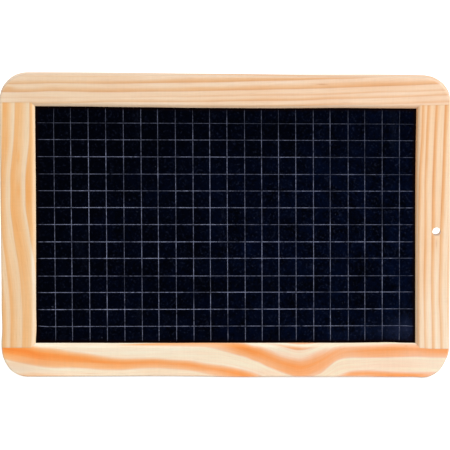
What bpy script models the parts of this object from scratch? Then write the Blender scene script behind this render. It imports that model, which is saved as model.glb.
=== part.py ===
"""School slate: a ruled slate panel held all round in the groove of a wooden frame.

The board stands upright. X runs along it, Z runs up, and Y goes through its thickness, with the
ruled face towards -Y. The origin is the middle of the bottom edge. All lengths are in metres.

The two rails run the full length of the board and the two stiles stand between them. All four
members carry the same groove and the same rounded mouldings along their inner edges. At each
corner the stile's tongue enters the rail's groove, its shoulders land on the rail, and the
mouldings meet in a mitre.
"""

import math

import bmesh
import bpy
from mathutils import Matrix, Vector

QUARTER_TURN = math.pi / 2
HALF_TURN = math.pi

# Frame, measured over its outside
FRAME_WIDTH = 0.260
FRAME_HEIGHT = 0.180
CORNER_RADIUS = 0.016
CORNER_STEPS = 12
ARRIS_RADIUS = 0.001
ARRIS_STEPS = 3

# Members, from the outer edge of the frame to the sight edge beside the slate
RAIL_WIDTH = 0.020
STILE_WIDTH = 0.020
LIP_THICKNESS = 0.0017
LIP_NOSE = 0.0003
MOULDING_WIDTH = 0.0025
MOULDING_STEPS = 5

# Corner joints
TONGUE_LENGTH = 0.0034
JOINT_CLEARANCE = 0.0003
MITRE_ANGLE = QUARTER_TURN / 2

# Slate panel and the room it has in the groove
SLATE_THICKNESS = 0.003
SLATE_FACE_CLEARANCE = 0.0003
SLATE_EDGE_CLEARANCE = 0.0005

# Scribed squares on the ruled face
SQUARE_SIZE = 0.010
RULING_SHIFT = 0.0005
SCRIBE_WIDTH = 0.0005
SCRIBE_DEPTH = 0.00015

# Hanging hole, drilled through the solid wood between the outer edge and the groove
HOLE_DIAMETER = 0.005
HOLE_DROP = 0.0027
HOLE_PLACE_SHARE = 0.545
HOLE_SIDES = 32

# How far a cutter runs past what it cuts
OVERRUN = 0.004

# Edges that turn by more than this stay sharp
SHARP_ANGLE = math.radians(35)


def groove_width():
    """Width of the groove through the board: the slate and the room on both its faces."""
    return SLATE_THICKNESS + 2 * SLATE_FACE_CLEARANCE


def groove_depth():
    """Depth of the groove from the sight edge, which is also what the tongue has to fit."""
    return MOULDING_WIDTH + TONGUE_LENGTH + JOINT_CLEARANCE


def frame_thickness():
    """Thickness of the frame: the groove and the lip on each side of it."""
    return groove_width() + 2 * LIP_THICKNESS


def clear_scene():
    """Remove every object that the scene holds."""
    for item in list(bpy.data.objects):
        bpy.data.objects.remove(item, do_unlink=True)


def add_object(name, shape):
    """Turn a bmesh into an object of the scene."""
    mesh = bpy.data.meshes.new(name)
    shape.to_mesh(mesh)
    shape.free()
    piece = bpy.data.objects.new(name, mesh)
    bpy.context.scene.collection.objects.link(piece)
    return piece


def extruded_shape(outline, sweep):
    """Solid that a flat outline leaves behind when it is carried along the vector sweep."""
    shape = bmesh.new()
    start = shape.faces.new([shape.verts.new(point) for point in outline])
    swept = bmesh.ops.extrude_face_region(shape, geom=[start], use_keep_orig=True)
    moved = [item for item in swept["geom"] if isinstance(item, bmesh.types.BMVert)]
    bmesh.ops.translate(shape, verts=moved, vec=sweep)
    bmesh.ops.recalc_face_normals(shape, faces=shape.faces)
    return shape


def add_cutter(name, outline, sweep):
    """Extruded solid that only cuts others, drawn as a wire."""
    cutter = add_object(name, extruded_shape(outline, sweep))
    cutter.hide_render = True
    cutter.display_type = "WIRE"
    return cutter


def carve(piece, cutter, operation="DIFFERENCE"):
    """Cut the piece with the cutter, keep the result as its mesh and remove the cutter."""
    cut = piece.modifiers.new("carve", "BOOLEAN")
    cut.operation = operation
    cut.solver = "EXACT"
    cut.object = cutter
    bpy.context.view_layer.update()
    graph = bpy.context.evaluated_depsgraph_get()
    carved = bpy.data.meshes.new_from_object(piece.evaluated_get(graph))
    uncut = piece.data
    piece.modifiers.remove(cut)
    piece.data = carved
    bpy.data.meshes.remove(uncut)
    bpy.data.objects.remove(cutter, do_unlink=True)


def smooth_rounded_faces(piece):
    """Shade the roundings smooth and keep the corners of the profile crisp."""
    piece.data.shade_smooth()
    piece.data.set_sharp_from_angle(angle=SHARP_ANGLE)


def place(piece, board, location, turned=False):
    """Hang the piece on the board, upside down about the through axis where it is turned."""
    piece.parent = board
    piece.location = location
    piece.rotation_euler = (0, HALF_TURN if turned else 0, 0)


def make_material(name, colour, roughness):
    """Principled material with one colour and one roughness."""
    material = bpy.data.materials.new(name)
    material.use_nodes = True
    surface = material.node_tree.nodes["Principled BSDF"]
    surface.inputs["Base Color"].default_value = (*colour, 1)
    surface.inputs["Roughness"].default_value = roughness
    surface.inputs["Metallic"].default_value = 0
    material.diffuse_color = (*colour, 1)
    return material


def top_rail_wood():
    """Pale pine with fine straight grain."""
    return make_material("top_rail_wood", (0.82, 0.58, 0.39), 0.62)


def bottom_rail_wood():
    """The palest pine of the four members."""
    return make_material("bottom_rail_wood", (0.90, 0.66, 0.42), 0.62)


def left_stile_wood():
    """Resin-rich orange pine."""
    return make_material("left_stile_wood", (0.80, 0.50, 0.26), 0.60)


def right_stile_wood():
    """Light pine with narrow orange lines."""
    return make_material("right_stile_wood", (0.88, 0.60, 0.37), 0.62)


def dark_slate():
    """Blue-black natural slate, ground flat."""
    return make_material("dark_slate", (0.008, 0.010, 0.017), 0.55)


def rounded_board_outline(centre):
    """Outside line of the whole frame in the XZ plane, with its four round corners."""
    outline = []
    for corner in range(4):
        start = corner * QUARTER_TURN
        side_x = 1 if corner in (0, 3) else -1
        side_z = 1 if corner in (0, 1) else -1
        middle_x = centre.x + side_x * (FRAME_WIDTH / 2 - CORNER_RADIUS)
        middle_z = centre.z + side_z * (FRAME_HEIGHT / 2 - CORNER_RADIUS)
        for step in range(CORNER_STEPS + 1):
            turn = start + QUARTER_TURN * step / CORNER_STEPS
            x = middle_x + CORNER_RADIUS * math.cos(turn)
            z = middle_z + CORNER_RADIUS * math.sin(turn)
            outline.append(Vector((x, centre.y - frame_thickness() / 2, z)))
    return outline


def add_board_blank(name, centre):
    """Solid plate with the frame's outline and its rounded arrises, which every member is cut from.

    The real frame is shaped the same way: its outside is milled and sanded after glueing up, so
    the corner rounding and the arris run on over the joints.
    """
    through = Vector((0, frame_thickness(), 0))
    shape = extruded_shape(rounded_board_outline(centre), through)
    rims = [edge for edge in shape.edges if edge.verts[0].co.y == edge.verts[1].co.y]
    bmesh.ops.bevel(
        shape,
        geom=rims,
        offset=ARRIS_RADIUS,
        offset_type="OFFSET",
        segments=ARRIS_STEPS,
        profile=0.5,
        affect="EDGES",
    )
    return add_object(name, shape)


def inner_edge_section(sight_edge):
    """Section of what is milled off an inner edge, as pairs of distance across and through.

    One half runs from the groove's floor, up the inside of the lip, over its nose and round the
    moulding, a quarter of an ellipse that meets the face and the nose smoothly. The other half
    mirrors it, so both faces of the board are alike.
    """
    half_groove = groove_width() / 2
    half_frame = frame_thickness() / 2
    floor = sight_edge - groove_depth()
    foot = sight_edge - MOULDING_WIDTH
    nose = half_groove + LIP_NOSE
    depth = half_frame - nose
    half = [(floor, half_groove), (sight_edge, half_groove)]
    for step in range(MOULDING_STEPS + 1):
        turn = QUARTER_TURN * (1 - step / MOULDING_STEPS)
        half.append((foot + MOULDING_WIDTH * math.sin(turn), nose + depth * math.cos(turn)))
    half.append((foot, half_frame + OVERRUN))
    half.append((sight_edge + OVERRUN, half_frame + OVERRUN))
    mirrored = [(across, -through) for across, through in reversed(half)]
    return half + mirrored


def in_board_plane(points, through):
    """Put flat (x, z) points on the plane that lies at the distance through along Y."""
    return [Vector((x, through, z)) for x, z in points]


def make_rail(name, material):
    """Full-length rail with its outer edge on Z = 0, the sight edge above it and open groove ends.

    Its moulding stops in a mitre where the stile's moulding meets it. Beyond that, out to the
    end, the wood drops by the width of the moulding to the landing of the stile's shoulders.
    """
    half_frame = frame_thickness() / 2
    rail = add_board_blank(name, Vector((0, 0, FRAME_HEIGHT / 2)))
    end = FRAME_WIDTH / 2 + OVERRUN
    sight_corner = FRAME_WIDTH / 2 - STILE_WIDTH
    mitre_start = sight_corner + MOULDING_WIDTH
    landing = RAIL_WIDTH - MOULDING_WIDTH
    region = [
        (-end, -OVERRUN),
        (end, -OVERRUN),
        (end, landing),
        (mitre_start, landing),
        (sight_corner, RAIL_WIDTH),
        (-sight_corner, RAIL_WIDTH),
        (-mitre_start, landing),
        (-end, landing),
    ]
    through = Vector((0, 2 * (half_frame + OVERRUN), 0))
    region_outline = in_board_plane(region, -half_frame - OVERRUN)
    carve(rail, add_cutter("rail_region", region_outline, through), "INTERSECT")
    section = [Vector((-end, y, z)) for z, y in inner_edge_section(RAIL_WIDTH)]
    carve(rail, add_cutter("rail_edge", section, Vector((2 * end, 0, 0))))
    rail.data.materials.append(material)
    smooth_rounded_faces(rail)
    return rail


def cut_tongues(stile):
    """Cut both faces of both ends back to the shoulders, which leaves a tongue at each end.

    A shoulder runs square across the stile up to its moulding, and from there along the mitre.
    """
    half_tongue = groove_width() / 2 - JOINT_CLEARANCE
    half_frame = frame_thickness() / 2
    landing = FRAME_HEIGHT / 2 - RAIL_WIDTH + MOULDING_WIDTH
    shoulder = landing - JOINT_CLEARANCE
    mitre_start = STILE_WIDTH - MOULDING_WIDTH - JOINT_CLEARANCE * math.tan(MITRE_ANGLE / 2)
    reach = MOULDING_WIDTH + OVERRUN
    drop = reach * math.tan(MITRE_ANGLE)
    for end in (1, -1):
        outline = [
            (-OVERRUN, end * shoulder),
            (mitre_start, end * shoulder),
            (mitre_start + reach, end * (shoulder - drop)),
            (mitre_start + reach, end * FRAME_HEIGHT / 2),
            (-OVERRUN, end * FRAME_HEIGHT / 2),
        ]
        for face in (1, -1):
            start = in_board_plane(outline, face * half_tongue)
            sweep = Vector((0, face * (half_frame + OVERRUN - half_tongue), 0))
            carve(stile, add_cutter("shoulder", start, sweep))


def drill_hanging_hole(stile):
    """Drill the hanging hole through the solid wood beside the groove."""
    half_frame = frame_thickness() / 2
    centre_x = HOLE_PLACE_SHARE * (STILE_WIDTH - groove_depth())
    rim = []
    for side in range(HOLE_SIDES):
        turn = 2 * HALF_TURN * side / HOLE_SIDES
        x = centre_x + HOLE_DIAMETER / 2 * math.cos(turn)
        z = HOLE_DROP + HOLE_DIAMETER / 2 * math.sin(turn)
        rim.append((x, z))
    start = in_board_plane(rim, -half_frame - OVERRUN)
    carve(stile, add_cutter("drill", start, Vector((0, 2 * (half_frame + OVERRUN), 0))))


def make_stile(name, material, drilled):
    """Stile with its outer edge on X = 0 and its middle on Z = 0, a tongue at each end."""
    half_frame = frame_thickness() / 2
    stile = add_board_blank(name, Vector((FRAME_WIDTH / 2, 0, 0)))
    tongue_end = FRAME_HEIGHT / 2 - RAIL_WIDTH + groove_depth() - JOINT_CLEARANCE
    region = [
        (-OVERRUN, -tongue_end),
        (STILE_WIDTH, -tongue_end),
        (STILE_WIDTH, tongue_end),
        (-OVERRUN, tongue_end),
    ]
    through = Vector((0, 2 * (half_frame + OVERRUN), 0))
    region_outline = in_board_plane(region, -half_frame - OVERRUN)
    carve(stile, add_cutter("stile_region", region_outline, through), "INTERSECT")
    end = FRAME_HEIGHT / 2
    section = [Vector((x, y, -end)) for x, y in inner_edge_section(STILE_WIDTH)]
    carve(stile, add_cutter("stile_edge", section, Vector((0, 0, 2 * end))))
    cut_tongues(stile)
    if drilled:
        drill_hanging_hole(stile)
    stile.data.materials.append(material)
    smooth_rounded_faces(stile)
    return stile


def ruling_places(sight_size, shift):
    """Places of the scribed lines along one direction, one square apart about the middle."""
    squares = max(2, round(sight_size / SQUARE_SIZE))
    middle = squares / 2
    return [shift + (line - middle) * SQUARE_SIZE for line in range(1, squares)]


def ruled_stations(half_size, places):
    """Stations across the face with their scribe share: 1 in the middle of a line, else 0."""
    stations = [(-half_size, 0)]
    for place_of_line in places:
        stations.append((place_of_line - SCRIBE_WIDTH / 2, 0))
        stations.append((place_of_line, 1))
        stations.append((place_of_line + SCRIBE_WIDTH / 2, 0))
    stations.append((half_size, 0))
    return stations


def add_ruled_face(shape, columns, rows):
    """Front face of the slate, a grid of facets that dip into a V along every scribed line.

    Where two lines cross, each facet folds along the diagonal from its uncut corner to the
    crossing, so the two V cuts run through each other. The vertices come back by row.
    """
    front = -SLATE_THICKNESS / 2
    grid = []
    for z, row_share in rows:
        line = []
        for x, column_share in columns:
            depth = SCRIBE_DEPTH * max(row_share, column_share)
            line.append(shape.verts.new((x, front + depth, z)))
        grid.append(line)
    for row in range(len(rows) - 1):
        for column in range(len(columns) - 1):
            low_left = grid[row][column]
            low_right = grid[row][column + 1]
            high_right = grid[row + 1][column + 1]
            high_left = grid[row + 1][column]
            column_rises = columns[column + 1][1] > columns[column][1]
            row_rises = rows[row + 1][1] > rows[row][1]
            in_column = columns[column][1] or columns[column + 1][1]
            in_row = rows[row][1] or rows[row + 1][1]
            if not (in_column and in_row):
                shape.faces.new((low_left, low_right, high_right, high_left))
            elif column_rises == row_rises:
                shape.faces.new((low_left, low_right, high_right))
                shape.faces.new((low_left, high_right, high_left))
            else:
                shape.faces.new((low_left, low_right, high_left))
                shape.faces.new((low_right, high_right, high_left))
    return grid


def make_slate(name, material):
    """Slate panel about its own middle: ruled front, plain back, edges inside the groove."""
    hold = groove_depth() - SLATE_EDGE_CLEARANCE
    sight_width = FRAME_WIDTH - 2 * STILE_WIDTH
    sight_height = FRAME_HEIGHT - 2 * RAIL_WIDTH
    half_width = sight_width / 2 + hold
    half_height = sight_height / 2 + hold
    columns = ruled_stations(half_width, ruling_places(sight_width, RULING_SHIFT))
    rows = ruled_stations(half_height, ruling_places(sight_height, 0))
    shape = bmesh.new()
    grid = add_ruled_face(shape, columns, rows)
    back = SLATE_THICKNESS / 2
    low_left = shape.verts.new((-half_width, back, -half_height))
    low_right = shape.verts.new((half_width, back, -half_height))
    high_right = shape.verts.new((half_width, back, half_height))
    high_left = shape.verts.new((-half_width, back, half_height))
    left_side = [line[0] for line in grid]
    right_side = [line[-1] for line in grid]
    shape.faces.new((low_left, high_left, high_right, low_right))
    shape.faces.new([low_left, low_right] + grid[0][::-1])
    shape.faces.new([high_right, high_left] + grid[-1])
    shape.faces.new([high_left, low_left] + left_side)
    shape.faces.new([low_right, high_right] + right_side[::-1])
    bmesh.ops.recalc_face_normals(shape, faces=shape.faces)
    slate = add_object(name, shape)
    slate.data.materials.append(material)
    return slate


def add_board():
    """Empty at the middle of the bottom edge that carries every piece."""
    board = bpy.data.objects.new("school_slate", None)
    bpy.context.scene.collection.objects.link(board)
    board.matrix_world = Matrix.Identity(4)
    return board


def build():
    """Make the five pieces and put each in its place."""
    clear_scene()
    board = add_board()
    bottom_rail = make_rail("bottom_rail", bottom_rail_wood())
    place(bottom_rail, board, (0, 0, 0))
    top_rail = make_rail("top_rail", top_rail_wood())
    place(top_rail, board, (0, 0, FRAME_HEIGHT), turned=True)
    left_stile = make_stile("left_stile", left_stile_wood(), drilled=False)
    place(left_stile, board, (-FRAME_WIDTH / 2, 0, FRAME_HEIGHT / 2))
    right_stile = make_stile("right_stile", right_stile_wood(), drilled=True)
    place(right_stile, board, (FRAME_WIDTH / 2, 0, FRAME_HEIGHT / 2), turned=True)
    slate = make_slate("slate", dark_slate())
    place(slate, board, (0, 0, FRAME_HEIGHT / 2))
    bpy.context.view_layer.update()


build()
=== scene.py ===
"""A school slate: a slate panel scribed with squares, in a frame of four pine members.

Sizes are in millimetres in the board's own frame and go to metres where a mesh is written. X runs to the right
along the board, Z up and Y out of the plain back, so the ruled face looks towards -Y. The front of the frame lies at
y = -3.5 and the back at y = +3.5. The members have the small differences in width that hand work leaves.
"""
from __future__ import annotations

import logging
import math
from dataclasses import dataclass, field
from enum import Enum

import bmesh
import bpy
import numpy as np
from mathutils import Matrix, Vector

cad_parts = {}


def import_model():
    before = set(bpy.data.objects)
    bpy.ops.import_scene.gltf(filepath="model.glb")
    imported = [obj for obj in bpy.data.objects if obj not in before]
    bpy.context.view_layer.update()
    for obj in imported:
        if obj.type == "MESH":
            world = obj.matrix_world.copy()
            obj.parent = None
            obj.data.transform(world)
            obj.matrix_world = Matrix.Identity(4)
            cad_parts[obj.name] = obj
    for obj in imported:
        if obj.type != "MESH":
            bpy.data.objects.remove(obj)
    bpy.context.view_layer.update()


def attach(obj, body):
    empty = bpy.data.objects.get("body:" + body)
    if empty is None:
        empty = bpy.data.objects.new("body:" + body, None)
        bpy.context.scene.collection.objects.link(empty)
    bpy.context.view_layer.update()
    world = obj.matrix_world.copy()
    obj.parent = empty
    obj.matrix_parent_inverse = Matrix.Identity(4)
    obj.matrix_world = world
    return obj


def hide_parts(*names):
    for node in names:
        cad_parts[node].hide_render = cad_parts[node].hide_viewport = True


MM = 0.001
MERGE_DISTANCE = 2e-6
FAR_OFF = 99.0
WHITE = (1.0, 1.0, 1.0, 1.0)
LOG = logging.getLogger("school_slate")
Array = np.ndarray
Socket = bpy.types.NodeSocket
Pair = tuple[float, float]
Knots = tuple[Pair, ...]
Triple = tuple[float, float, float]
Shade = tuple[float, float, float, float]


class Member(Enum):
    """The four members of the frame, by the CAD node that each one stands for."""

    TOP = "top_rail"
    BOTTOM = "bottom_rail"
    LEFT = "left_stile"
    RIGHT = "right_stile"

    @property
    def is_rail(self) -> bool:
        """Whether the member lies level."""
        return self in RAILS

    @property
    def sign(self) -> float:
        """+1 for the member on the right or at the top, -1 for the one across from it."""
        return 1.0 if self in (Member.TOP, Member.RIGHT) else -1.0


RAILS = (Member.TOP, Member.BOTTOM)
STILES = (Member.LEFT, Member.RIGHT)


# Curves and meshes


def curve_through(knots: Knots, places: Array) -> Array:
    """Reads a smooth curve through the knots.

    Formula: between two knots a cubic takes their heights and slopes, where a knot's slope comes from its two
    neighbours. Beyond the end knots the curve goes on straight.

    Args:
        knots: (place, height) pairs in rising order of place. A single knot is a level line.
        places: Where to read the curve.

    Returns:
        The heights, in the shape of places.
    """
    x, y = np.array(knots, dtype=float).T
    if len(x) == 1:
        return np.full(np.shape(places), y[0])
    slope = np.gradient(y, x)
    i = np.clip(np.searchsorted(x, places) - 1, 0, len(x) - 2)
    step = x[i + 1] - x[i]
    inside = np.clip(places, x[0], x[-1])
    t = (inside - x[i]) / step
    height = (
        y[i] * (1 + 2 * t) * (1 - t) ** 2
        + y[i + 1] * t**2 * (3 - 2 * t)
        + step * t * (1 - t) * (slope[i] * (1 - t) - slope[i + 1] * t)
    )
    beyond = places - inside
    return height + beyond * np.where(beyond < 0, slope[0], slope[-1])


def ease(low: float, high: float, values: Array) -> Array:
    """Goes from 0 at low to 1 at high along the curve 3t^2 - 2t^3."""
    t = np.clip((values - low) / (high - low), 0.0, 1.0)
    return t * t * (3.0 - 2.0 * t)


def rounded_steps(count: int) -> Array:
    """Angles from 0 to a right angle in equal steps, ends included."""
    return np.linspace(0.0, math.pi / 2, count + 1)


def quads(rows: int, columns: int, closed: bool = False) -> list[list[int]]:
    """Faces of a grid of points stored row after row, in the rows' order.

    Args:
        rows: How many rows there are.
        columns: How many points each row has.
        closed: Whether each row is a ring, with faces between its last point and its first.

    Returns:
        Four corner numbers a face.
    """
    j, k = np.meshgrid(np.arange(rows - 1), np.arange(columns if closed else columns - 1), indexing="ij")
    a, b = j * columns + k, j * columns + (k + 1) % columns
    return np.stack([a, b, b + columns, a + columns], axis=-1).reshape(-1, 4).tolist()


def add_object(name: str, data: bpy.types.ID) -> bpy.types.Object:
    """Puts a mesh, lamp or camera into the scene as an object.

    Args:
        name: The object's name.
        data: The mesh, lamp or camera.

    Returns:
        The object, at the origin.
    """
    made = bpy.data.objects.new(name, data)
    bpy.context.scene.collection.objects.link(made)
    return made


def closed_object(name: str, points: Array, faces: list[list[int]]) -> bpy.types.Object:
    """Makes an object of one closed mesh with its faces pointing outwards.

    Args:
        name: Name of the object and its mesh.
        points: Points in millimetres, one in each row.
        faces: Corner numbers of each face.

    Returns:
        The linked object, at the origin.
    """
    mesh = bpy.data.meshes.new(name)
    mesh.from_pydata((points * MM).tolist(), [], faces)
    work = bmesh.new()
    work.from_mesh(mesh)
    bmesh.ops.remove_doubles(work, verts=work.verts, dist=MERGE_DISTANCE)
    bmesh.ops.recalc_face_normals(work, faces=work.faces)
    work.to_mesh(mesh)
    work.free()
    return add_object(name, mesh)


def ring_solid(name: str, rings: Array) -> bpy.types.Object:
    """A solid from closed rings of points that follow each other, with both ends closed.

    Args:
        name: Name of the object and its mesh.
        rings: Points in millimetres, a ring in each row.

    Returns:
        The object.
    """
    stations, ring, _ = rings.shape
    ends = [list(range(ring)), list(range((stations - 1) * ring, stations * ring))[::-1]]
    return closed_object(name, rings.reshape(-1, 3), quads(stations, ring, True) + ends)


def cut_away(piece: bpy.types.Object, cutters: list[bpy.types.Object]) -> None:
    """Takes the cutters' solids out of the piece for good and deletes the cutters.

    Args:
        piece: The solid that is cut.
        cutters: The solids that leave it.
    """
    for cutter in cutters:
        step = piece.modifiers.new("cut", "BOOLEAN")
        step.operation = "DIFFERENCE"
        step.solver = "EXACT"
        step.object = cutter
    ready = piece.evaluated_get(bpy.context.evaluated_depsgraph_get())
    mesh = bpy.data.meshes.new_from_object(ready)
    piece.modifiers.clear()
    piece.data = mesh
    for cutter in cutters:
        bpy.data.objects.remove(cutter, do_unlink=True)


def read_rows(items: bpy.types.bpy_prop_collection, name: str) -> Array:
    """Reads three numbers of each item.

    Args:
        items: The points or directions of a mesh.
        name: What to read of them.

    Returns:
        The numbers, an item in each row.
    """
    flat = np.empty(len(items) * 3)
    items.foreach_get(name, flat)
    return flat.reshape(-1, 3)


def read_points(mesh: bpy.types.Mesh) -> Array:
    """The mesh's points in millimetres, one in each row."""
    return read_rows(mesh.vertices, "co") / MM


def write_points(mesh: bpy.types.Mesh, points: Array) -> None:
    """Puts points in millimetres back into the mesh."""
    mesh.vertices.foreach_set("co", (points * MM).ravel())
    mesh.update()


def read_normals(mesh: bpy.types.Mesh) -> Array:
    """The mesh's outward directions at its points, one in each row."""
    return read_rows(mesh.vertex_normals, "vector")


def give_vector(mesh: bpy.types.Mesh, name: str, parts: list[Array]) -> None:
    """Stores three numbers at every point of the mesh, for its material to read."""
    layer = mesh.attributes.new(name, "FLOAT_VECTOR", "POINT")
    layer.data.foreach_set("vector", np.stack(parts, axis=-1).astype(np.float32).ravel())


def note(piece: bpy.types.Object) -> None:
    """Logs how many points and faces a piece has."""
    LOG.info("%s: %d points, %d faces", piece.name, len(piece.data.vertices), len(piece.data.polygons))


def smooth_shading(mesh: bpy.types.Mesh, sharp_angle: float = 32.0) -> None:
    """Shades the mesh smoothly, with edges sharper than the angle in degrees left crisp."""
    mesh.shade_smooth()
    mesh.set_sharp_from_angle(angle=math.radians(sharp_angle))


def box_solid(name: str, low: Triple, high: Triple) -> bpy.types.Object:
    """A rectangular cutter between two corners in millimetres: a ring of four points, at the low and the high Z."""
    ring = np.array([(low[0], low[1]), (high[0], low[1]), (high[0], high[1]), (low[0], high[1])])
    return ring_solid(name, np.stack([np.column_stack([ring, np.full(4, z)]) for z in (low[2], high[2])]))


def join_into(piece: bpy.types.Object, others: list[bpy.types.Object]) -> None:
    """Adds the others' meshes to the piece's own and deletes the others.

    Args:
        piece: The piece that grows.
        others: What goes into it.
    """
    work = bmesh.new()
    work.from_mesh(piece.data)
    for other in others:
        work.from_mesh(other.data)
        bpy.data.objects.remove(other, do_unlink=True)
    work.to_mesh(piece.data)
    work.free()


@dataclass(frozen=True)
class Patch:
    """A soft spot on a face: its middle across and up, its half width and half height, and its strength."""

    across: float
    up: float
    half_width: float
    half_height: float
    strength: float = 1.0

    def read(self, x: Array, z: Array) -> Array:
        """Strength of the spot at each place: a bell curve in both directions."""
        reach = ((x - self.across) / self.half_width) ** 2 + ((z - self.up) / self.half_height) ** 2
        return self.strength * np.exp(-reach)


# Layout of the board


@dataclass(frozen=True)
class BoardLayout:
    """Sizes that the members share, and the lines in which they meet.

    spare_width is how much wider than the drawn width a member is along its length. top_fall, bottom_rise, left_lean
    and right_lean are how far each outer edge lies inside the drawn outline. nose is the upright step in which the
    moulding ends. joint_gap is the room that a stile keeps to a rail, joint_line the half width of the grey line
    there, and joint_reach how far beside the joint it runs on. handled_edge is where the grey beside the outline
    begins and where it is full. edge_grey is its strength on the edges, and arris_grey what it gains over arris_span,
    two places in the thickness. thumb is a grey patch on the front near the lower left corner, and corner_grey_span
    where in the thickness that ends and where it is full.
    """

    half_width: float = 130.0
    height: float = 180.0
    half_thickness: float = 3.5
    member_width: float = 20.0
    arris: float = 1.0
    moulding_depth: float = 1.5
    nose: float = 0.2
    groove_half: float = 1.8
    groove_reach: float = 6.2
    tongue_half: float = 1.76
    tongue_end_gap: float = 0.12
    joint_gap: float = 0.02
    joint_line: float = 0.3
    joint_reach: float = 0.4
    handled_edge: Pair = (1.0, 0.25)
    edge_grey: float = 0.25
    arris_grey: float = 0.35
    arris_span: Pair = (1.6, 2.6)
    corner_radii: dict[tuple[Member, Member], float] = field(
        default_factory=lambda: {
            (Member.TOP, Member.LEFT): 16.2,
            (Member.TOP, Member.RIGHT): 16.3,
            (Member.BOTTOM, Member.LEFT): 15.6,
            (Member.BOTTOM, Member.RIGHT): 16.5,
        }
    )
    spare_width: dict[Member, Knots] = field(
        default_factory=lambda: {
            Member.TOP: (
                (-110, -0.98), (-80, -0.86), (-60, -0.68), (-40, -0.74), (-17, -0.66), (8, -0.74), (26, -0.82),
                (45, -1.0), (69, -1.14), (90, -0.96), (110, -1.08),
            ),
            Member.BOTTOM: (
                (-110, 0.02), (-80, -0.04), (-56, -0.22), (-35, -0.24), (-12, 0.1), (10, 0.42), (30, 0.28),
                (50, 0.34), (69, 0.3), (86, 0.58), (97, 0.74), (104, 0.5), (110, 0.45),
            ),
            Member.LEFT: (
                (20, -0.08), (32, 0.0), (41, 0.07), (52, 0.08), (65, 0.24), (80, 0.36), (94, 0.5), (120, 0.53),
                (142, 0.46), (160, 0.53),
            ),
            Member.RIGHT: ((20, -0.3), (50, -0.05), (90, 0.15), (130, 0.15), (160, -0.25)),
        }
    )
    moulding_width: dict[Member, Knots] = field(
        default_factory=lambda: {
            Member.TOP: ((0, 2.45),),
            Member.BOTTOM: ((0, 2.45),),
            Member.LEFT: ((20, 2.65), (160, 2.0)),
            Member.RIGHT: ((20, 2.75), (100, 2.75), (160, 2.3)),
        }
    )
    top_fall: Knots = (
        (-127, 0.16), (-116, 0.1), (-100, 0.05), (-84, 0.04), (-66, 0.08), (-26, 0.42), (0, 0.48), (18, 0.62),
        (42, 0.72), (61, 0.66), (105, 0.66), (117, 0.88), (126, 0.66),
    )
    bottom_rise: Knots = (
        (-115, 0.2), (-69, 0.61), (-40, 0.95), (-14, 0.83), (12, 0.56), (28, 0.84), (50, 0.96), (80, 1.07),
        (100, 1.02), (112, 1.02), (119, 0.5), (127, 0.55),
    )
    left_lean: Knots = (
        (0, 0.93), (4, 1.0), (7, 1.33), (11, 1.28), (15, 1.0), (18.5, 0.75), (28, 1.13), (41, 0.88), (52, 0.9),
        (65, 0.82), (82, 0.72), (96, 0.58), (120, 0.52), (140, 0.46), (160, 0.3),
    )
    right_lean: Knots = (
        (0, 0.7), (4, 0.82), (7, 1.15), (10.5, 1.2), (14, 0.7), (17.5, 0.3), (24, 0.28), (52, 0.22), (96, 0.24),
        (150, 0.46), (166, 0.52), (180, 0.5),
    )
    # A grey patch on the front near the lower left corner.
    corner_grey: Patch = Patch(-121.0, 5.0, 18.0, 5.0, 0.45)
    corner_grey_span: Pair = (0.0, -3.0)

    def sight_width(self, member: Member, along: Array) -> Array:
        """Distance from the member's outer edge to the slate's opening."""
        return self.member_width + curve_through(self.spare_width[member], along)

    def flat_width(self, member: Member, along: Array) -> Array:
        """Distance from the member's outer edge to where its moulding begins."""
        return self.sight_width(member, along) - curve_through(self.moulding_width[member], along)

    def turned(self, rail: Member, places: Array | float) -> Array | float:
        """Turns distances from a rail's outer edge into heights, and heights into distances."""
        return self.height - places if rail is Member.TOP else places

    def mitre(self, rail: Member, stile: Member) -> tuple[float, float, float, float]:
        """The line in which the mouldings of a rail and a stile meet.

        Args:
            rail: The level member.
            stile: The upright member.

        Returns:
            Distance of the line's ends from the board's upright middle line, first the end at the opening and then
            the one at the flats, and their distances from the rail's outer edge in the same order.
        """
        level = np.array([self.turned(rail, self.member_width)])
        near = self.half_width - self.sight_width(stile, level)[0]
        far = self.half_width - self.flat_width(stile, level)[0]
        width_near = self.sight_width(rail, np.array([stile.sign * near]))[0]
        width_far = self.flat_width(rail, np.array([stile.sign * far]))[0]
        return near, far, width_near, width_far

    def rail_line(self, rail: Member, x: Array) -> Array:
        """The rail's inner limit: shoulder line at the ends, mitre, and opening between.

        Args:
            rail: The level member.
            x: Places along it.

        Returns:
            Distances from the rail's outer edge.
        """
        line = self.sight_width(rail, x)
        for stile in STILES:
            near, far, width_near, width_far = self.mitre(rail, stile)
            along = x * stile.sign
            slant = width_near + (width_far - width_near) * (along - near) / (far - near)
            line = np.where(along > near, slant, line)
            line = np.where(along > far, self.flat_width(rail, x), line)
        return line

    def settle(self, points: Array) -> Array:
        """Moves points to where hand work has them.

        Formula: each outer edge draws inwards by its own small curve, and a point in between takes its share of
        the two edges across from each other in proportion to its place.

        Args:
            points: Points as drawn, one in each row.

        Returns:
            The moved points.
        """
        x, y, z = points.T
        up = np.clip(z / self.height, 0.0, 1.0)
        right = np.clip((x + self.half_width) / (2 * self.half_width), 0.0, 1.0)
        dz = (1 - up) * curve_through(self.bottom_rise, x) - up * curve_through(self.top_fall, x)
        dx = (1 - right) * curve_through(self.left_lean, z) - right * curve_through(self.right_lean, z)
        return np.column_stack([x + dx, y, z + dz])

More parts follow.
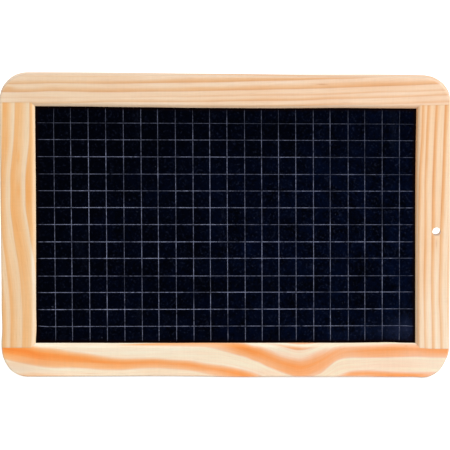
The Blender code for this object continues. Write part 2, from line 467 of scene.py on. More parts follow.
    def handled(self, points: Array) -> Array:
        """How much each point is greyed: by hands near the outline, and in a patch near the lower left corner.

        Formula: the distance to the outline is that to the nearer straight side, or in a corner what is left of the
        corner's radius beyond its middle. The grey sets in beside the outline and is strongest on the rounded
        arrises. The front has a grey patch near the lower left corner as well.

        Args:
            points: Points as drawn, one in each row.

        Returns:
            The shares of grey.
        """
        x, y, z = points.T
        beside, above = self.half_width - np.abs(x), np.minimum(z, self.height - z)
        gap = np.minimum(beside, above)
        for (rail, stile), radius in self.corner_radii.items():
            side = (x * stile.sign > 0) & ((z - self.height / 2) * rail.sign > 0)
            here = side & (beside < radius) & (above < radius)
            gap = np.where(here, radius - np.hypot(radius - beside, radius - above), gap)
        strength = self.edge_grey + self.arris_grey * ease(*self.arris_span, np.abs(y))
        corner_grey = self.corner_grey.read(x, z) * ease(*self.corner_grey_span, y)
        return np.maximum(ease(*self.handled_edge, gap) * strength, corner_grey)

    def wood_gap(self, points: Array) -> Array:
        """Distance from points of the slate to the nearest member's inner edge.

        Formula: a point goes straight to each member's drawn edge, and that place is settled. The nearest counts.

        Args:
            points: Points of the slate, one in each row.

        Returns:
            The distances.
        """
        x, _, z = points.T
        nearest = np.full(len(points), FAR_OFF)
        for member in Member:
            edge = points.copy()
            if member.is_rail:
                edge[:, 2] = self.turned(member, self.sight_width(member, x))
            else:
                edge[:, 0] = member.sign * (self.half_width - self.sight_width(member, z))
            gap = member.sign * (self.settle(edge) - points)
            nearest = np.minimum(nearest, gap[:, 2 if member.is_rail else 0])
        return nearest

    def soil(self, points: Array) -> Array:
        """How close each point is to a joint line, for the thin grey line that glue and dust leave.

        Formula: a bell curve of the distance to the nearest shoulder or mitre line.

        Args:
            points: Points as drawn, one in each row.

        Returns:
            Shares from 0 to 1.
        """
        x, _, z = points.T
        near_line = np.full(len(points), FAR_OFF)
        for rail in RAILS:
            gap = np.abs(self.turned(rail, z) - self.rail_line(rail, x))
            for stile in STILES:
                near, far, width_near, width_far = self.mitre(rail, stile)
                along = x * stile.sign
                tilt = (width_far - width_near) / (far - near)
                gap_here = np.where(along > far, gap, gap / math.hypot(1.0, tilt) + np.clip(near - along, 0, None))
                beside = along > near - self.joint_reach
                near_line = np.where(beside, np.minimum(near_line, gap_here), near_line)
        return np.exp(-((near_line / self.joint_line) ** 2))


# Timber


@dataclass(frozen=True)
class Latewood:
    """The dark wood of one year: where it ends sharply, and how far back it fades.

    edge and fade are knots along the member, edge in the member's across coordinate. The wood fades to higher values
    across the member. start is its depth right at the edge and peak where in the fade it is deepest, both as shares.
    fullness is 1 where it fades evenly from there and more where it is one broad band. line is how brown the sharp
    edge is, crisp how far it is blurred, and line_place and line_width where the brown lies.
    """

    edge: Knots
    fade: Knots
    strength: Knots = ((0, 1.0),)
    start: float = 0.8
    peak: float = 0.1
    fullness: float = 1.1
    line: float = 0.3
    crisp: float = 0.28
    line_place: float = 0.15
    line_width: float = 0.32

    def read(self, along: Array, across: Array) -> tuple[Array, Array]:
        """Depth of colour of this year's dark wood.

        Formula: it rises evenly from its start at the edge to its peak, and from there falls by the remaining
        distance, as a share, to the power of the fullness. Nothing lies beyond the edge, whose own line is a bell
        curve.

        Args:
            along: Places along the member.
            across: Places across it.

        Returns:
            The colour and the sharp edge's line, both from 0 to 1.
        """
        inside = across - curve_through(self.edge, along)
        strength = np.clip(curve_through(self.strength, along), 0.0, 1.0)
        share = np.clip(inside / np.maximum(curve_through(self.fade, along), 0.1), 0.0, 1.0)
        rise = self.start + (1.0 - self.start) * np.clip(share / self.peak, 0.0, 1.0)
        fall = 1.0 - np.clip((share - self.peak) / (1.0 - self.peak), 0.0, 1.0) ** self.fullness
        body = rise * fall * ease(-self.crisp, self.crisp, inside)
        edge = np.exp(-(((inside - self.line_place) / self.line_width) ** 2)) * self.line
        return body * strength, edge * strength


@dataclass(frozen=True)
class Mark:
    """A spot of its own under the front face, with its half length and half width.

    A brown mark is a small fleck. The others deepen the wood's colour, or pale it where the strength is negative. A
    few
    are painted light: the pale marks on the left stile's moulding are painted highlight, and the broad dark mark at
    the top of the right stile is painted shade.
    """

    along: float
    across: float
    length: float
    width: float
    strength: float
    brown: bool = False
    depth: float = 3.0

    def read(self, along: Array, across: Array, depth: Array) -> Array:
        """Strength of the mark at points in the wood: a bell curve in all three directions."""
        reach = ((along - self.along) / self.length) ** 2 + ((across - self.across) / self.width) ** 2
        return self.strength * np.exp(-reach - (depth / self.depth) ** 2)


@dataclass(frozen=True)
class Timber:
    """The grain of one member as a solid, so that its faces, edges and ends agree.

    flow is how its fibres wander across the member. tilt is how far the rings move across for each millimetre into
    the wood.
    """

    rings: tuple[Latewood, ...]
    flow: Knots
    tilt: float
    marks: tuple[Mark, ...] = ()

    def read(self, along: Array, across: Array, depth: Array) -> list[Array]:
        """Reads the grain at points in the wood.

        Args:
            along: Places along the member.
            across: Places across it.
            depth: Distances behind the front face.

        Returns:
            Colour of the rings and marks, a few of them painted highlight or shade, their brown edges, and the place
            across the fibres.
        """
        moved = across - self.tilt * depth
        pale = np.ones(len(along))
        edge = np.zeros(len(along))
        for ring in self.rings:
            body, line = ring.read(along, moved)
            pale *= 1.0 - body
            edge = np.maximum(edge, line)
        deep = 1.0 - pale
        for mark in self.marks:
            spot = mark.read(along, moved, depth)
            if mark.brown:
                edge = np.maximum(edge, spot)
            else:
                deep = deep + spot
        return [deep, edge, moved - curve_through(self.flow, along)]


TOP_RINGS = (
    Latewood(
        edge=((-125, 178.8), (-60, 178.8), (-20, 179.3), (20, 180.3), (60, 181.3), (130, 183.1)),
        fade=((0, 1.6),),
        strength=((-110, 0.3), (-80, 0.3), (-60, 0.2), (-20, 0.15), (10, 0.2), (60, 0.4)),
    ),
    Latewood(
        edge=(
            (-124.9, 174.2), (-114.8, 174.4), (-100.5, 174.9), (-86.1, 174.8), (-68.3, 174.7), (-43.1, 175.2),
            (-14.4, 175.7), (0, 176.0), (14.3, 176.5), (42.9, 177.3), (60, 178.1), (71.6, 178.4), (90, 179.2),
            (117.4, 180.1),
        ),
        fade=((-125, 2.8), (-60, 2.4), (-20, 2.8), (0, 3.0), (60, 2.8)),
        strength=((-125, 0.62), (-105, 0.6), (-80, 0.6), (-60, 0.72), (-40, 0.85), (0, 0.9), (40, 0.85), (110, 0.6)),
        line=0.5,
    ),
    Latewood(
        edge=(
            (-127.8, 169.5), (-118.3, 169.5), (-107.7, 169.8), (-100.5, 170.2), (-86.1, 170.0), (-68.3, 169.8),
            (-43.1, 170.2), (-28.7, 170.3), (-14.4, 170.6), (0, 171.0), (20, 171.5), (28.6, 171.8), (43, 172.1),
            (57.3, 172.6), (78.5, 173.5), (107.2, 174.6), (123.8, 175.5),
        ),
        fade=((-128, 4.4), (-116, 3.2), (-100, 3.4), (-60, 2.8), (0, 3.0), (60, 3.4), (80, 3.6), (110, 3.0)),
        strength=(
            (-128, 0.8), (-115, 0.75), (-95, 0.78), (-75, 0.85), (-20, 0.85), (60, 0.85), (85, 0.9), (120, 0.7),
        ),
        line=0.55,
    ),
    Latewood(
        edge=(
            (-127, 165.9), (-93.6, 166.3), (-64.9, 166.2), (-43.1, 166.8), (-14.4, 167.2), (14.3, 168.0), (43, 168.3),
            (64.2, 168.9), (86, 170.1), (107.2, 170.7), (125.5, 171.5),
        ),
        fade=((0, 1.5),),
        strength=((-127, 0.2), (-40, 0.24), (40, 0.42), (126, 0.4)),
    ),
    Latewood(
        edge=(
            (-122.3, 162.8), (-93.6, 162.9), (-64.9, 164.0), (-43.1, 164.0), (-14.4, 164.2), (21.2, 165.1),
            (43, 165.3), (60, 166.2), (71.7, 166.5), (100.3, 167.4), (127.3, 168.8),
        ),
        fade=((0, 1.9),),
        strength=((-127, 0.3), (-65, 0.5), (0, 0.62), (40, 0.66), (70, 0.5), (126, 0.45)),
        line=0.45,
    ),
    Latewood(
        edge=(
            (-112, 160.5), (-43.1, 160.7), (14.3, 161.1), (43, 161.8), (60, 162.6), (86, 163.1), (107.2, 163.8),
            (127, 164.5),
        ),
        fade=((0, 1.7),),
        strength=((-127, 0.15), (-20, 0.3), (40, 0.5), (126, 0.35)),
    ),
    Latewood(
        edge=((-130, 157.0), (0, 157.9), (130, 160.6)),
        fade=((0, 2.0),),
        strength=((0, 0.45),),
    ),
    Latewood(
        edge=((-130, 184.0), (0, 184.6), (130, 187.0)),
        fade=((0, 2.2),),
        strength=((0, 0.6),),
    ),
)
TOP_TIMBER = Timber(
    rings=TOP_RINGS,
    flow=((-127.8, -0.3), (-100.5, 0.4), (-68.3, 0.1), (-28.7, 0.5), (0, 1.3), (57.3, 2.8), (123.8, 5.6)),
    tilt=0.55,
    marks=(
        Mark(55.6, 174.8, 3.0, 0.34, 0.85, brown=True),
        Mark(-124.0, 171.8, 3.0, 1.5, 0.28),
        Mark(-16.0, 172.2, 9.0, 0.9, 0.16),
        Mark(30.0, 176.0, 16.0, 1.2, -0.1),
        Mark(96.0, 170.0, 18.0, 1.6, -0.12),
    ),
)

BOTTOM_RINGS = (
    Latewood(
        edge=(
            (-130, 11.6), (-124, 10.0), (-116, 8.3), (-108, 6.7), (-100, 5.8), (-90, 5.9), (-80, 5.5), (-70, 4.7),
            (-60, 4.6), (-50, 5.6), (-40, 6.0), (-30, 5.45), (-20, 4.6), (-10, 2.5), (0, 0.3), (8, -1.9), (16, -4.7),
            (40, -18.0), (60, -14.0), (80, -6.0), (130, -3.0),
        ),
        fade=(
            (-130, 11.6), (-124, 12.4), (-116, 13.6), (-108, 12.3), (-100, 12.6), (-90, 10.6), (-80, 9.6), (-70, 8.6),
            (-60, 7.7), (-50, 6.7), (-40, 6.35), (-30, 6.2), (-20, 6.4), (-10, 7.0), (0, 7.8), (8, 8.5), (16, 9.1),
            (40, 12.0), (66, 5.0), (80, 7.0), (130, 6.0),
        ),
        strength=(
            (-130, 0.96), (-124, 1.0), (-108, 1.0), (-100, 0.88), (-90, 0.84), (-70, 0.78), (-50, 0.74), (-30, 0.7),
            (-20, 0.73), (-10, 0.62), (0, 0.66), (8, 0.7), (16, 0.62), (24, 0.3), (40, 0.6), (90, 0.6), (130, 0.6),
        ),
        start=0.36, peak=0.52, fullness=1.5, line=0.12, crisp=0.7,
    ),
    Latewood(
        edge=(
            (-130, 20.2), (-75, 20.2), (-40, 19.6), (-20, 19.2), (-10, 18.6), (0, 16.1), (8, 13.9), (12.9, 12.6),
            (16, 11.2), (20, 9.75), (24, 7.6), (28, 5.9), (32, 4.3), (40, 1.5), (44, 0.4), (48, 0.7), (52, 2.0),
            (56, 3.7), (60, 7.0), (64, 10.4), (68, 12.1), (72, 12.7), (80, 12.8), (90, 12.9), (100, 13.2),
            (110, 13.6), (120, 13.2), (130, 13.1),
        ),
        fade=(
            (-40, 2.6), (-10, 5.8), (0, 8.2), (8, 9.8), (16, 9.5), (24, 11.0), (32, 10.6), (40, 11.7), (48, 13.4),
            (56, 14.0), (64, 9.4), (72, 7.8), (80, 8.0), (90, 8.6), (100, 9.3), (110, 9.0), (130, 8.9),
        ),
        strength=(
            (-130, 0.0), (-70, 0.1), (-60, 0.4), (-20, 0.5), (0, 0.56), (8, 0.82), (16, 0.84), (24, 0.72), (32, 0.7),
            (40, 0.73), (48, 0.68), (56, 0.64), (64, 0.58), (72, 0.56), (80, 0.66), (100, 0.7), (110, 0.6),
            (120, 0.68), (130, 0.68),
        ),
        start=0.5, peak=0.5, fullness=1.6, line=0.15, crisp=0.6,
    ),
    Latewood(
        edge=((20, 21.4), (26, 20.9), (32, 19.6), (36, 18.4), (41.2, 17.2), (48.1, 17.5), (60, 20.7)),
        fade=((30, 1.4), (41, 2.8), (48, 2.2)),
        strength=((22, 0.0), (28, 0.12), (34, 0.3), (40, 0.5), (44, 0.46), (48, 0.26), (54, 0.05), (60, 0.0)),
        peak=0.4, line=0.3,
    ),
    Latewood(
        edge=((60, 0.2), (66, 0.6), (72, 1.1), (80, 1.2), (90, 1.2), (100, 1.0), (110, 0.8), (120, 2.2), (130, 3.6)),
        fade=((60, 1.0), (66, 2.2), (72, 3.8), (80, 4.6), (90, 4.2), (100, 3.8), (110, 3.8), (120, 2.8)),
        strength=(
            (60, 0.0), (66, 0.16), (72, 0.56), (80, 0.64), (90, 0.64), (100, 0.56), (110, 0.5), (120, 0.26),
            (128, 0.0),
        ),
        start=0.4, peak=0.42, fullness=1.5, line=0.1, crisp=0.5,
    ),
    Latewood(
        edge=((-130, -0.6), (-116, 0.2), (-100, 0.0), (-80, -1.2)),
        fade=((0, 3.2),),
        strength=((-128, 0.0), (-122, 0.3), (-112, 0.34), (-100, 0.16), (-85, 0.05), (-70, 0.0), (0, 0.0)),
        line=0.0,
    ),
    Latewood(
        edge=((-130, 29.0), (-40, 28.0), (20, 27.0), (43, 21.2), (62, 24.0), (130, 24.5)),
        fade=((0, 5.0),),
        strength=((0, 0.7),),
        peak=0.5, start=0.5, fullness=2.0,
    ),
)
BOTTOM_TIMBER = Timber(
    rings=BOTTOM_RINGS,
    flow=(
        (-130, 0), (-100, -4.6), (-60, -5.6), (-20, -5.4), (0, -6.0), (18, -10.5), (32, -15.5), (45, -18.0),
        (55, -14.5), (66, -8.0), (80, -6.2), (130, -5.8),
    ),
    tilt=-0.9,
    marks=(
        Mark(-118.0, 8.2, 12.0, 2.2, 0.14),
        Mark(20.0, 3.2, 18.0, 2.6, 0.1),
        Mark(40.0, 15.4, 14.0, 2.4, 0.08),
        Mark(95.0, 8.0, 42.0, 6.0, 0.05),
        Mark(104.8, 20.1, 0.7, 0.4, 0.7, brown=True),
        Mark(111.0, 20.8, 0.5, 0.4, 0.6, brown=True),
    ),
)

LEFT_RINGS = (
    Latewood(
        edge=(
            (21.2, -103.5), (58.2, -107.2), (76.1, -111.0), (82, -112.1), (90, -113.2), (100, -114.7), (110, -114.9),
            (120, -114.8), (130, -113.8), (140, -112.7), (150, -112.4), (162.5, -112.3),
        ),
        fade=((20, 3.0), (70, 3.2), (84, 4.2), (100, 6.4), (120, 6.4), (130, 5.2), (150, 2.8), (163, 2.4)),
        strength=((20, 0.5), (80, 0.56), (100, 0.8), (110, 0.9), (120, 0.9), (130, 0.78), (150, 0.7)),
        fullness=2.0, line=0.35,
    ),
    Latewood(
        edge=(
            (21.2, -117.3), (40.3, -117.0), (50, -117.5), (60, -118.2), (70, -119.5), (80, -121.1), (90, -122.3),
            (100, -123.5), (110, -123.5), (120, -123.5), (130, -122.6), (140, -121.6), (150, -121.1), (162.5, -120.8),
        ),
        fade=((21, 6.4), (45, 6.6), (64, 7.6), (76, 8.8), (90, 8.2), (117, 6.8), (135, 6.2), (150, 6.0), (162, 6.4)),
        strength=((20, 0.56), (60, 0.56), (76, 0.66), (90, 0.8), (125, 0.78), (145, 0.68), (162, 0.64)),
        fullness=2.2, line=0.35,
    ),
    Latewood(
        edge=(
            (21.1, -124.0), (40, -123.9), (50, -124.5), (60, -125.5), (70, -126.6), (80, -128.0), (90, -128.6),
            (100, -128.9), (110, -129.0), (120, -128.9), (130, -128.5), (141, -128.2), (150, -128.0), (162.4, -127.8),
        ),
        fade=(
            (21, 5.4), (40, 5.2), (60, 5.4), (70, 5.0), (80, 4.6), (90, 3.6), (100, 3.0), (110, 3.2), (120, 3.4),
            (130, 4.2), (140, 5.2), (162, 5.4),
        ),
        strength=(
            (21, 0.66), (50, 0.6), (70, 0.62), (80, 0.68), (100, 0.66), (120, 0.78), (140, 0.78), (150, 0.76),
            (162, 0.82),
        ),
        fullness=1.3, line=0.4,
    ),
    Latewood(
        edge=(
            (21.1, -128.6), (30, -128.5), (40, -128.7), (50, -128.9), (60, -129.2), (70, -130.5), (93.8, -134.5),
            (162.4, -134.1),
        ),
        fade=((21, 3.0), (40, 2.8), (50, 2.0), (64, 1.6), (90, 3.0), (160, 3.0)),
        strength=((20, 0.75), (50, 0.7), (62, 0.4), (70, 0.3)),
        line=0.3,
    ),
    Latewood(
        edge=((20, -140.0), (100, -142.0), (160, -141.0)),
        fade=((0, 4.5),),
        strength=((0, 0.7),),
    ),
)
LEFT_TIMBER = Timber(
    rings=LEFT_RINGS,
    flow=((21.2, 0), (52.2, 0.2), (74.8, -2.8), (93.8, -6.0), (117.5, -6.3), (134.1, -4.9), (162.5, -3.4)),
    tilt=-1.1,
    marks=(
        Mark(131.6, -118.8, 3.6, 0.7, 0.34),
        Mark(111.5, -118.9, 4.4, 0.8, 0.32),
        Mark(108.0, -113.3, 6.0, 1.2, 0.22),
        Mark(159.0, -126.2, 7.0, 1.1, 0.2),
        Mark(142.0, -125.6, 9.0, 0.8, 0.2),
        Mark(88.0, -124.6, 12.0, 1.2, -0.12),
        Mark(128.9, -119.4, 1.6, 0.3, 0.35, brown=True),
        # Painted highlight: these two pale marks on the moulding stand for the light that falls on it.
        Mark(108.0, -109.9, 28.0, 1.3, -0.3),
        Mark(68.0, -109.4, 13.0, 1.7, -0.5),
    ),
)

RIGHT_RINGS = (
    Latewood(
        edge=((20.6, 129.2), (47.5, 128.4), (76, 128.4), (95, 129.0), (162.4, 131.0)),
        fade=((0, 1.9),),
        strength=((20, 0.1), (60, 0.3), (76, 0.32), (100, 0.12), (160, 0.2)),
    ),
    Latewood(
        edge=(
            (20.6, 124.6), (35, 124.2), (47.4, 123.6), (71.2, 123.7), (90.3, 124.0), (104.5, 124.4), (118.7, 124.9),
            (130.5, 125.2), (142.3, 125.5), (162.4, 126.2),
        ),
        fade=((0, 2.3),),
        strength=((20, 0.46), (50, 0.46), (65, 0.56), (82, 0.6), (100, 0.74), (130, 0.84), (160, 0.88)),
        line=0.45,
    ),
    Latewood(
        edge=(
            (20.5, 119.8), (35, 119.5), (50, 119.1), (65, 118.9), (76, 119.1), (82, 119.1), (100, 119.2),
            (115, 119.3), (130, 119.7), (145, 120.2), (161.8, 120.9),
        ),
        fade=((0, 2.3),),
        strength=(
            (20, 0.5), (50, 0.52), (65, 0.62), (76, 0.62), (82, 0.7), (100, 0.8), (115, 0.88), (130, 0.84),
            (160, 0.7),
        ),
        line=0.45,
    ),
    Latewood(
        edge=(
            (20.5, 115.5), (35, 115.1), (50, 114.8), (65, 114.7), (76, 114.9), (100, 114.9), (115, 114.8),
            (130, 115.2), (145, 115.6), (162, 116.2),
        ),
        fade=((0, 2.0),),
        strength=((20, 0.38), (50, 0.5), (65, 0.66), (100, 0.52), (115, 0.62), (130, 0.7), (160, 0.62)),
        line=0.45,
    ),
    Latewood(
        edge=(
            (20.5, 111.2), (47.4, 111.0), (83.1, 111.0), (106.8, 111.3), (124.5, 111.7), (140, 112.6), (162.3, 113.2),
        ),
        fade=((0, 2.0),),
        strength=((20, 0.42), (100, 0.5), (145, 0.62), (160, 0.6)),
        line=0.4,
    ),
    Latewood(
        edge=((20, 105.8), (160, 106.6)),
        fade=((0, 4.4),),
        strength=((20, 0.5), (160, 0.7)),
        peak=0.4, fullness=2.0, line=0.4,
    ),
    Latewood(
        edge=((20, 134.2), (160, 135.6)),
        fade=((0, 1.8),),
        strength=((0, 0.7),),
        line=0.5,
    ),
)
RIGHT_TIMBER = Timber(
    rings=RIGHT_RINGS,
    flow=((20.5, 0), (59, -0.3), (90, -0.2), (120, 0.3), (162, 1.4)),
    tilt=0.3,
    marks=(
        Mark(79.0, 119.4, 5.0, 0.9, 0.2),
        Mark(81.0, 121.9, 3.2, 0.5, 0.45, brown=True),
        # Painted shade: this broad mark darkens the top of the stile; the next one pales the wood towards its bottom.
        Mark(165.0, 120.0, 26.0, 14.0, 0.14),
        Mark(24.0, 120.0, 40.0, 14.0, -0.14),
    ),
)


# Finishes


def colour(red: float, green: float, blue: float) -> Shade:
    """Turns a colour as it is seen into the light values that a shader takes.

    Formula: the sRGB curve, a straight line near black and a power of 2.4 above it.

    Args:
        red: Red, from 0 to 255.
        green: Green.
        blue: Blue.

    Returns:
        The light values, with 1 for the fourth.
    """
    seen = np.array([red, green, blue]) / 255.0
    light = np.where(seen <= 0.04045, seen / 12.92, ((seen + 0.055) / 1.055) ** 2.4)
    return (float(light[0]), float(light[1]), float(light[2]), 1.0)


class NodeBench:
    """Lays out the nodes of one material or world."""

    def __init__(self, owner: bpy.types.Material | bpy.types.World) -> None:
        """Starts with an empty tree.

        Args:
            owner: The material or world whose nodes are laid out.
        """
        owner.use_nodes = True
        self.owner = owner
        self.tree = owner.node_tree
        self.tree.nodes.clear()

    def node(self, kind: str, inputs: dict[str | int, object] | None = None, **settings: object) -> bpy.types.Node:
        """Adds a node.

        Args:
            kind: Blender's name of the node's type.
            inputs: Numbers, colours or other nodes' outputs for its inputs, by name or place.
            settings: The node's own settings.

        Returns:
            The node.
        """
        made = self.tree.nodes.new(kind)
        for key, value in settings.items():
            setattr(made, key, value)
        for key, value in (inputs or {}).items():
            if isinstance(value, Socket):
                self.tree.links.new(value, made.inputs[key])
            else:
                made.inputs[key].default_value = value
        return made

    def maths(self, operation: str, first: object, second: object = 0.0, clamp: bool = False) -> Socket:
        """One sum of two numbers or outputs, by Blender's name for it; clamp keeps it between 0 and 1."""
        return self.node("ShaderNodeMath", {0: first, 1: second}, operation=operation, use_clamp=clamp).outputs[0]

    def mix(self, share: object, first: object, second: object, blend: str = "MIX") -> Socket:
        """Mixes two colours or outputs, by how much of the second one shows and Blender's name for the way."""
        inputs = {0: share, 6: first, 7: second}
        return self.node("ShaderNodeMix", inputs, data_type="RGBA", blend_type=blend).outputs[2]

    def ramp(self, share: object, stops: list[tuple[float, Shade]]) -> Socket:
        """Reads a colour off a row of stops, evenly between neighbours.

        Args:
            share: Where to read it, from 0 to 1.
            stops: Places in rising order with their colours.

        Returns:
            The colour's output.
        """
        made = self.node("ShaderNodeValToRGB", {"Fac": share})
        elements = made.color_ramp.elements
        for place, _ in stops[1:-1]:
            elements.new(place)
        for element, (place, shade) in zip(elements, stops):
            element.position = place
            element.color = shade
        return made.outputs[0]

    def spread(self, value: object, low: float, high: float, new_low: float, new_high: float) -> Socket:
        """Carries a number from one range to another, and stops at its ends."""
        inputs = {"Value": value, "From Min": low, "From Max": high, "To Min": new_low, "To Max": new_high}
        return self.node("ShaderNodeMapRange", inputs, clamp=True).outputs[0]

    def product(self, first: tuple, second: tuple) -> Socket:
        """Multiplies two numbers after a spread each, given as the spreads' own values."""
        return self.maths("MULTIPLY", self.spread(*first), self.spread(*second))

    def noise(
        self, place: object, scale: float | Triple, detail: float, rough: float = 0.5, shift: float = 0.0
    ) -> Socket:
        """Noise whose grains can be stretched along the axes.

        Args:
            place: Output with the places.
            scale: Grains for each unit, alike or along the three axes.
            detail: Octaves of finer noise.
            rough: Strength of the finer octaves.
            shift: Moves the pattern, so that two pieces differ.

        Returns:
            The noise, around 0.5.
        """
        along_axes = scale if isinstance(scale, tuple) else (scale, scale, scale)
        inputs = {"Vector": place, "Scale": along_axes, "Location": (shift, shift * 0.7, shift * 1.3)}
        mapped = self.node("ShaderNodeMapping", inputs, vector_type="POINT")
        inputs = {"Vector": mapped.outputs[0], "Scale": 1.0, "Detail": detail, "Roughness": rough}
        return self.node("ShaderNodeTexNoise", inputs).outputs[0]

    def attribute(self, name: str) -> Socket:
        """Reads the three numbers that the piece's points carry under a name."""
        return self.node("ShaderNodeAttribute", attribute_name=name, attribute_type="GEOMETRY").outputs["Vector"]

    def parts(self, vector: Socket) -> tuple[Socket, ...]:
        """Takes three numbers apart."""
        return tuple(self.node("ShaderNodeSeparateXYZ", {"Vector": vector}).outputs)

    def seen(self) -> Socket:
        """Tells what the camera sees from the light that falls on things.

        Returns:
            An output that is 1 for what is seen directly, in a reflection or through glass, and 0 for the rest.
        """
        path = self.node("ShaderNodeLightPath").outputs
        direct = self.maths("MAXIMUM", path["Is Camera Ray"], path["Is Glossy Ray"])
        return self.maths("MAXIMUM", direct, path["Is Transmission Ray"])

    def surface(
        self, base: object, roughness: object, height: object, relief: Pair, shine: float
    ) -> bpy.types.Material:
        """Finishes a material of one plain surface.

        Args:
            base: Its colour.
            roughness: Its roughness.
            height: Height of its relief, between 0 and 1.
            relief: Depth of the relief in millimetres, and its strength.
            shine: Strength of its reflection.

        Returns:
            The material.
        """
        depth, strength = relief
        bump = self.node("ShaderNodeBump", {"Height": height, "Distance": depth * MM, "Strength": strength})
        inputs = {"Base Color": base, "Roughness": roughness, "Normal": bump.outputs[0], "Specular IOR Level": shine}
        return self.close(self.node("ShaderNodeBsdfPrincipled", inputs), "ShaderNodeOutputMaterial")

    def close(self, shader: bpy.types.Node, kind: str) -> bpy.types.Material | bpy.types.World:
        """Joins the shader to an output of the given type and hands the material or world over."""
        self.node(kind, {"Surface": shader.outputs[0]})
        return self.owner


@dataclass(frozen=True)
class PineFinish:
    """Sanded, unvarnished pine. Colours are as seen in plain light.

    early, late and deep are the pale wood, the dark wood and its edges. warm tints the broad blotches, and pores,
    end_grain, greyed and soiled tint what they name. streaks is the strength of the fine grain, and seed moves it.
    resin holds the share of resin at the member's near end and at its far one, each tint_reach from the middle, and
    near_tint colours the near one alone. palest is the depth of the first of the stops.
    """

    name: str
    early: Triple
    late: Triple
    deep: Triple
    warm: Triple
    streaks: float
    seed: float
    resin: Pair = (0.0, 0.0)
    near_tint: Triple = (255, 255, 255)
    pores: Triple = (226, 204, 182)
    end_grain: Triple = (218, 184, 148)
    greyed: Triple = (222, 200, 178)
    soiled: Triple = (150, 118, 92)
    palest: float = -0.25
    stops: int = 15
    tint_reach: float = 110.0

    def shades(self, resin: float) -> list[tuple[float, Shade]]:
        """Colours from the palest wood to the deepest.

        Formula: each light value of the early wood times the ratio of late to early to the power of the depth, as
        a stain swallows light. For blue, resin's share of what the depth lacks to 1 is first taken off.

        Args:
            resin: Share of resin in the deep wood.

        Returns:
            Stops of a ramp: places from 0 to 1 with their colours.
        """
        early, late = np.array(colour(*self.early)), np.array(colour(*self.late))
        stops = []
        for depth in np.linspace(self.palest, 1.0, self.stops):
            resinous = depth * (1.0 - resin * (1.0 - depth))
            shade = np.clip(early * (late / early) ** np.array([depth, depth, resinous, 1.0]), 0.0, 1.0)
            stops.append(((depth - self.palest) / (1.0 - self.palest), tuple(map(float, shade))))
        return stops

    def material(self) -> bpy.types.Material:
        """Builds the wood.

        The attribute grain holds the colour of the rings and of the marks, among which are a painted highlight and
        painted shade, their brown edges and the soil at the joints. fibre holds places in millimetres along the
        fibres, across them and into the wood, so that the fine streaks follow them. cut holds how much a surface
        shows end grain, and how greyed it is.

        Returns:
            The material.
        """
        bench = NodeBench(bpy.data.materials.new(self.name))
        rings, edges, soil = bench.parts(bench.attribute("grain"))
        fibre = bench.attribute("fibre")
        along, _, _ = bench.parts(fibre)
        ends, handled, _ = bench.parts(bench.attribute("cut"))

        broad = bench.noise(fibre, (0.016, 0.42, 0.42), 2.0, 0.5, self.seed)
        fine = bench.noise(fibre, (0.035, 2.1, 2.1), 4.0, 0.6, self.seed + 7.0)
        hair = bench.noise(fibre, (0.11, 5.5, 5.5), 2.0, 0.6, self.seed + 13.0)
        blotch = bench.noise(fibre, (0.03, 0.12, 0.12), 2.0, 0.5, self.seed + 23.0)
        chatter = bench.noise(fibre, (1.15, 0.1, 0.1), 2.0, 0.6, self.seed + 31.0)

        depth = rings
        for streak, weight in ((broad, self.streaks), (fine, self.streaks * 0.8)):
            depth = bench.maths("ADD", depth, bench.maths("MULTIPLY", bench.maths("SUBTRACT", streak, 0.5), weight))
        share = bench.spread(depth, self.palest, 1.0, 0.0, 1.0)
        near, far = (bench.ramp(share, self.shades(resin)) for resin in self.resin)
        to_far = bench.spread(along, -self.tint_reach, self.tint_reach, 0.0, 1.0)
        wood = bench.mix(to_far, near, far)
        wood = bench.mix(bench.maths("SUBTRACT", 1.0, to_far), wood, colour(*self.near_tint), "MULTIPLY")
        wood = bench.mix(bench.spread(blotch, 0.38, 0.66, 0.0, 0.5), wood, colour(*self.warm), "MULTIPLY")
        wood = bench.mix(bench.maths("MULTIPLY", edges, 0.85, clamp=True), wood, colour(*self.deep))
        open_pores = bench.product((hair, 0.6, 0.74, 0.0, 1.0), (fine, 0.42, 0.6, 0.15, 0.5))
        wood = bench.mix(open_pores, wood, colour(*self.pores), "MULTIPLY")
        speck = bench.product((hair, 0.3, 0.7, 1.04, 0.965), (chatter, 0.3, 0.7, 1.015, 0.985))
        grey = bench.node("ShaderNodeCombineColor", {"Red": speck, "Green": speck, "Blue": speck})
        wood = bench.mix(1.0, wood, grey.outputs[0], "MULTIPLY")
        wood = bench.mix(bench.maths("MULTIPLY", ends, 0.5), wood, colour(*self.end_grain), "MULTIPLY")
        wood = bench.mix(handled, wood, colour(*self.greyed))
        wood = bench.mix(bench.maths("MULTIPLY", soil, 0.06), wood, colour(*self.soiled))

        height = bench.maths("ADD", fine, bench.maths("MULTIPLY", hair, 0.6))
        return bench.surface(wood, bench.spread(depth, 0.0, 1.0, 0.68, 0.54), height, (0.03, 0.35), 0.3)


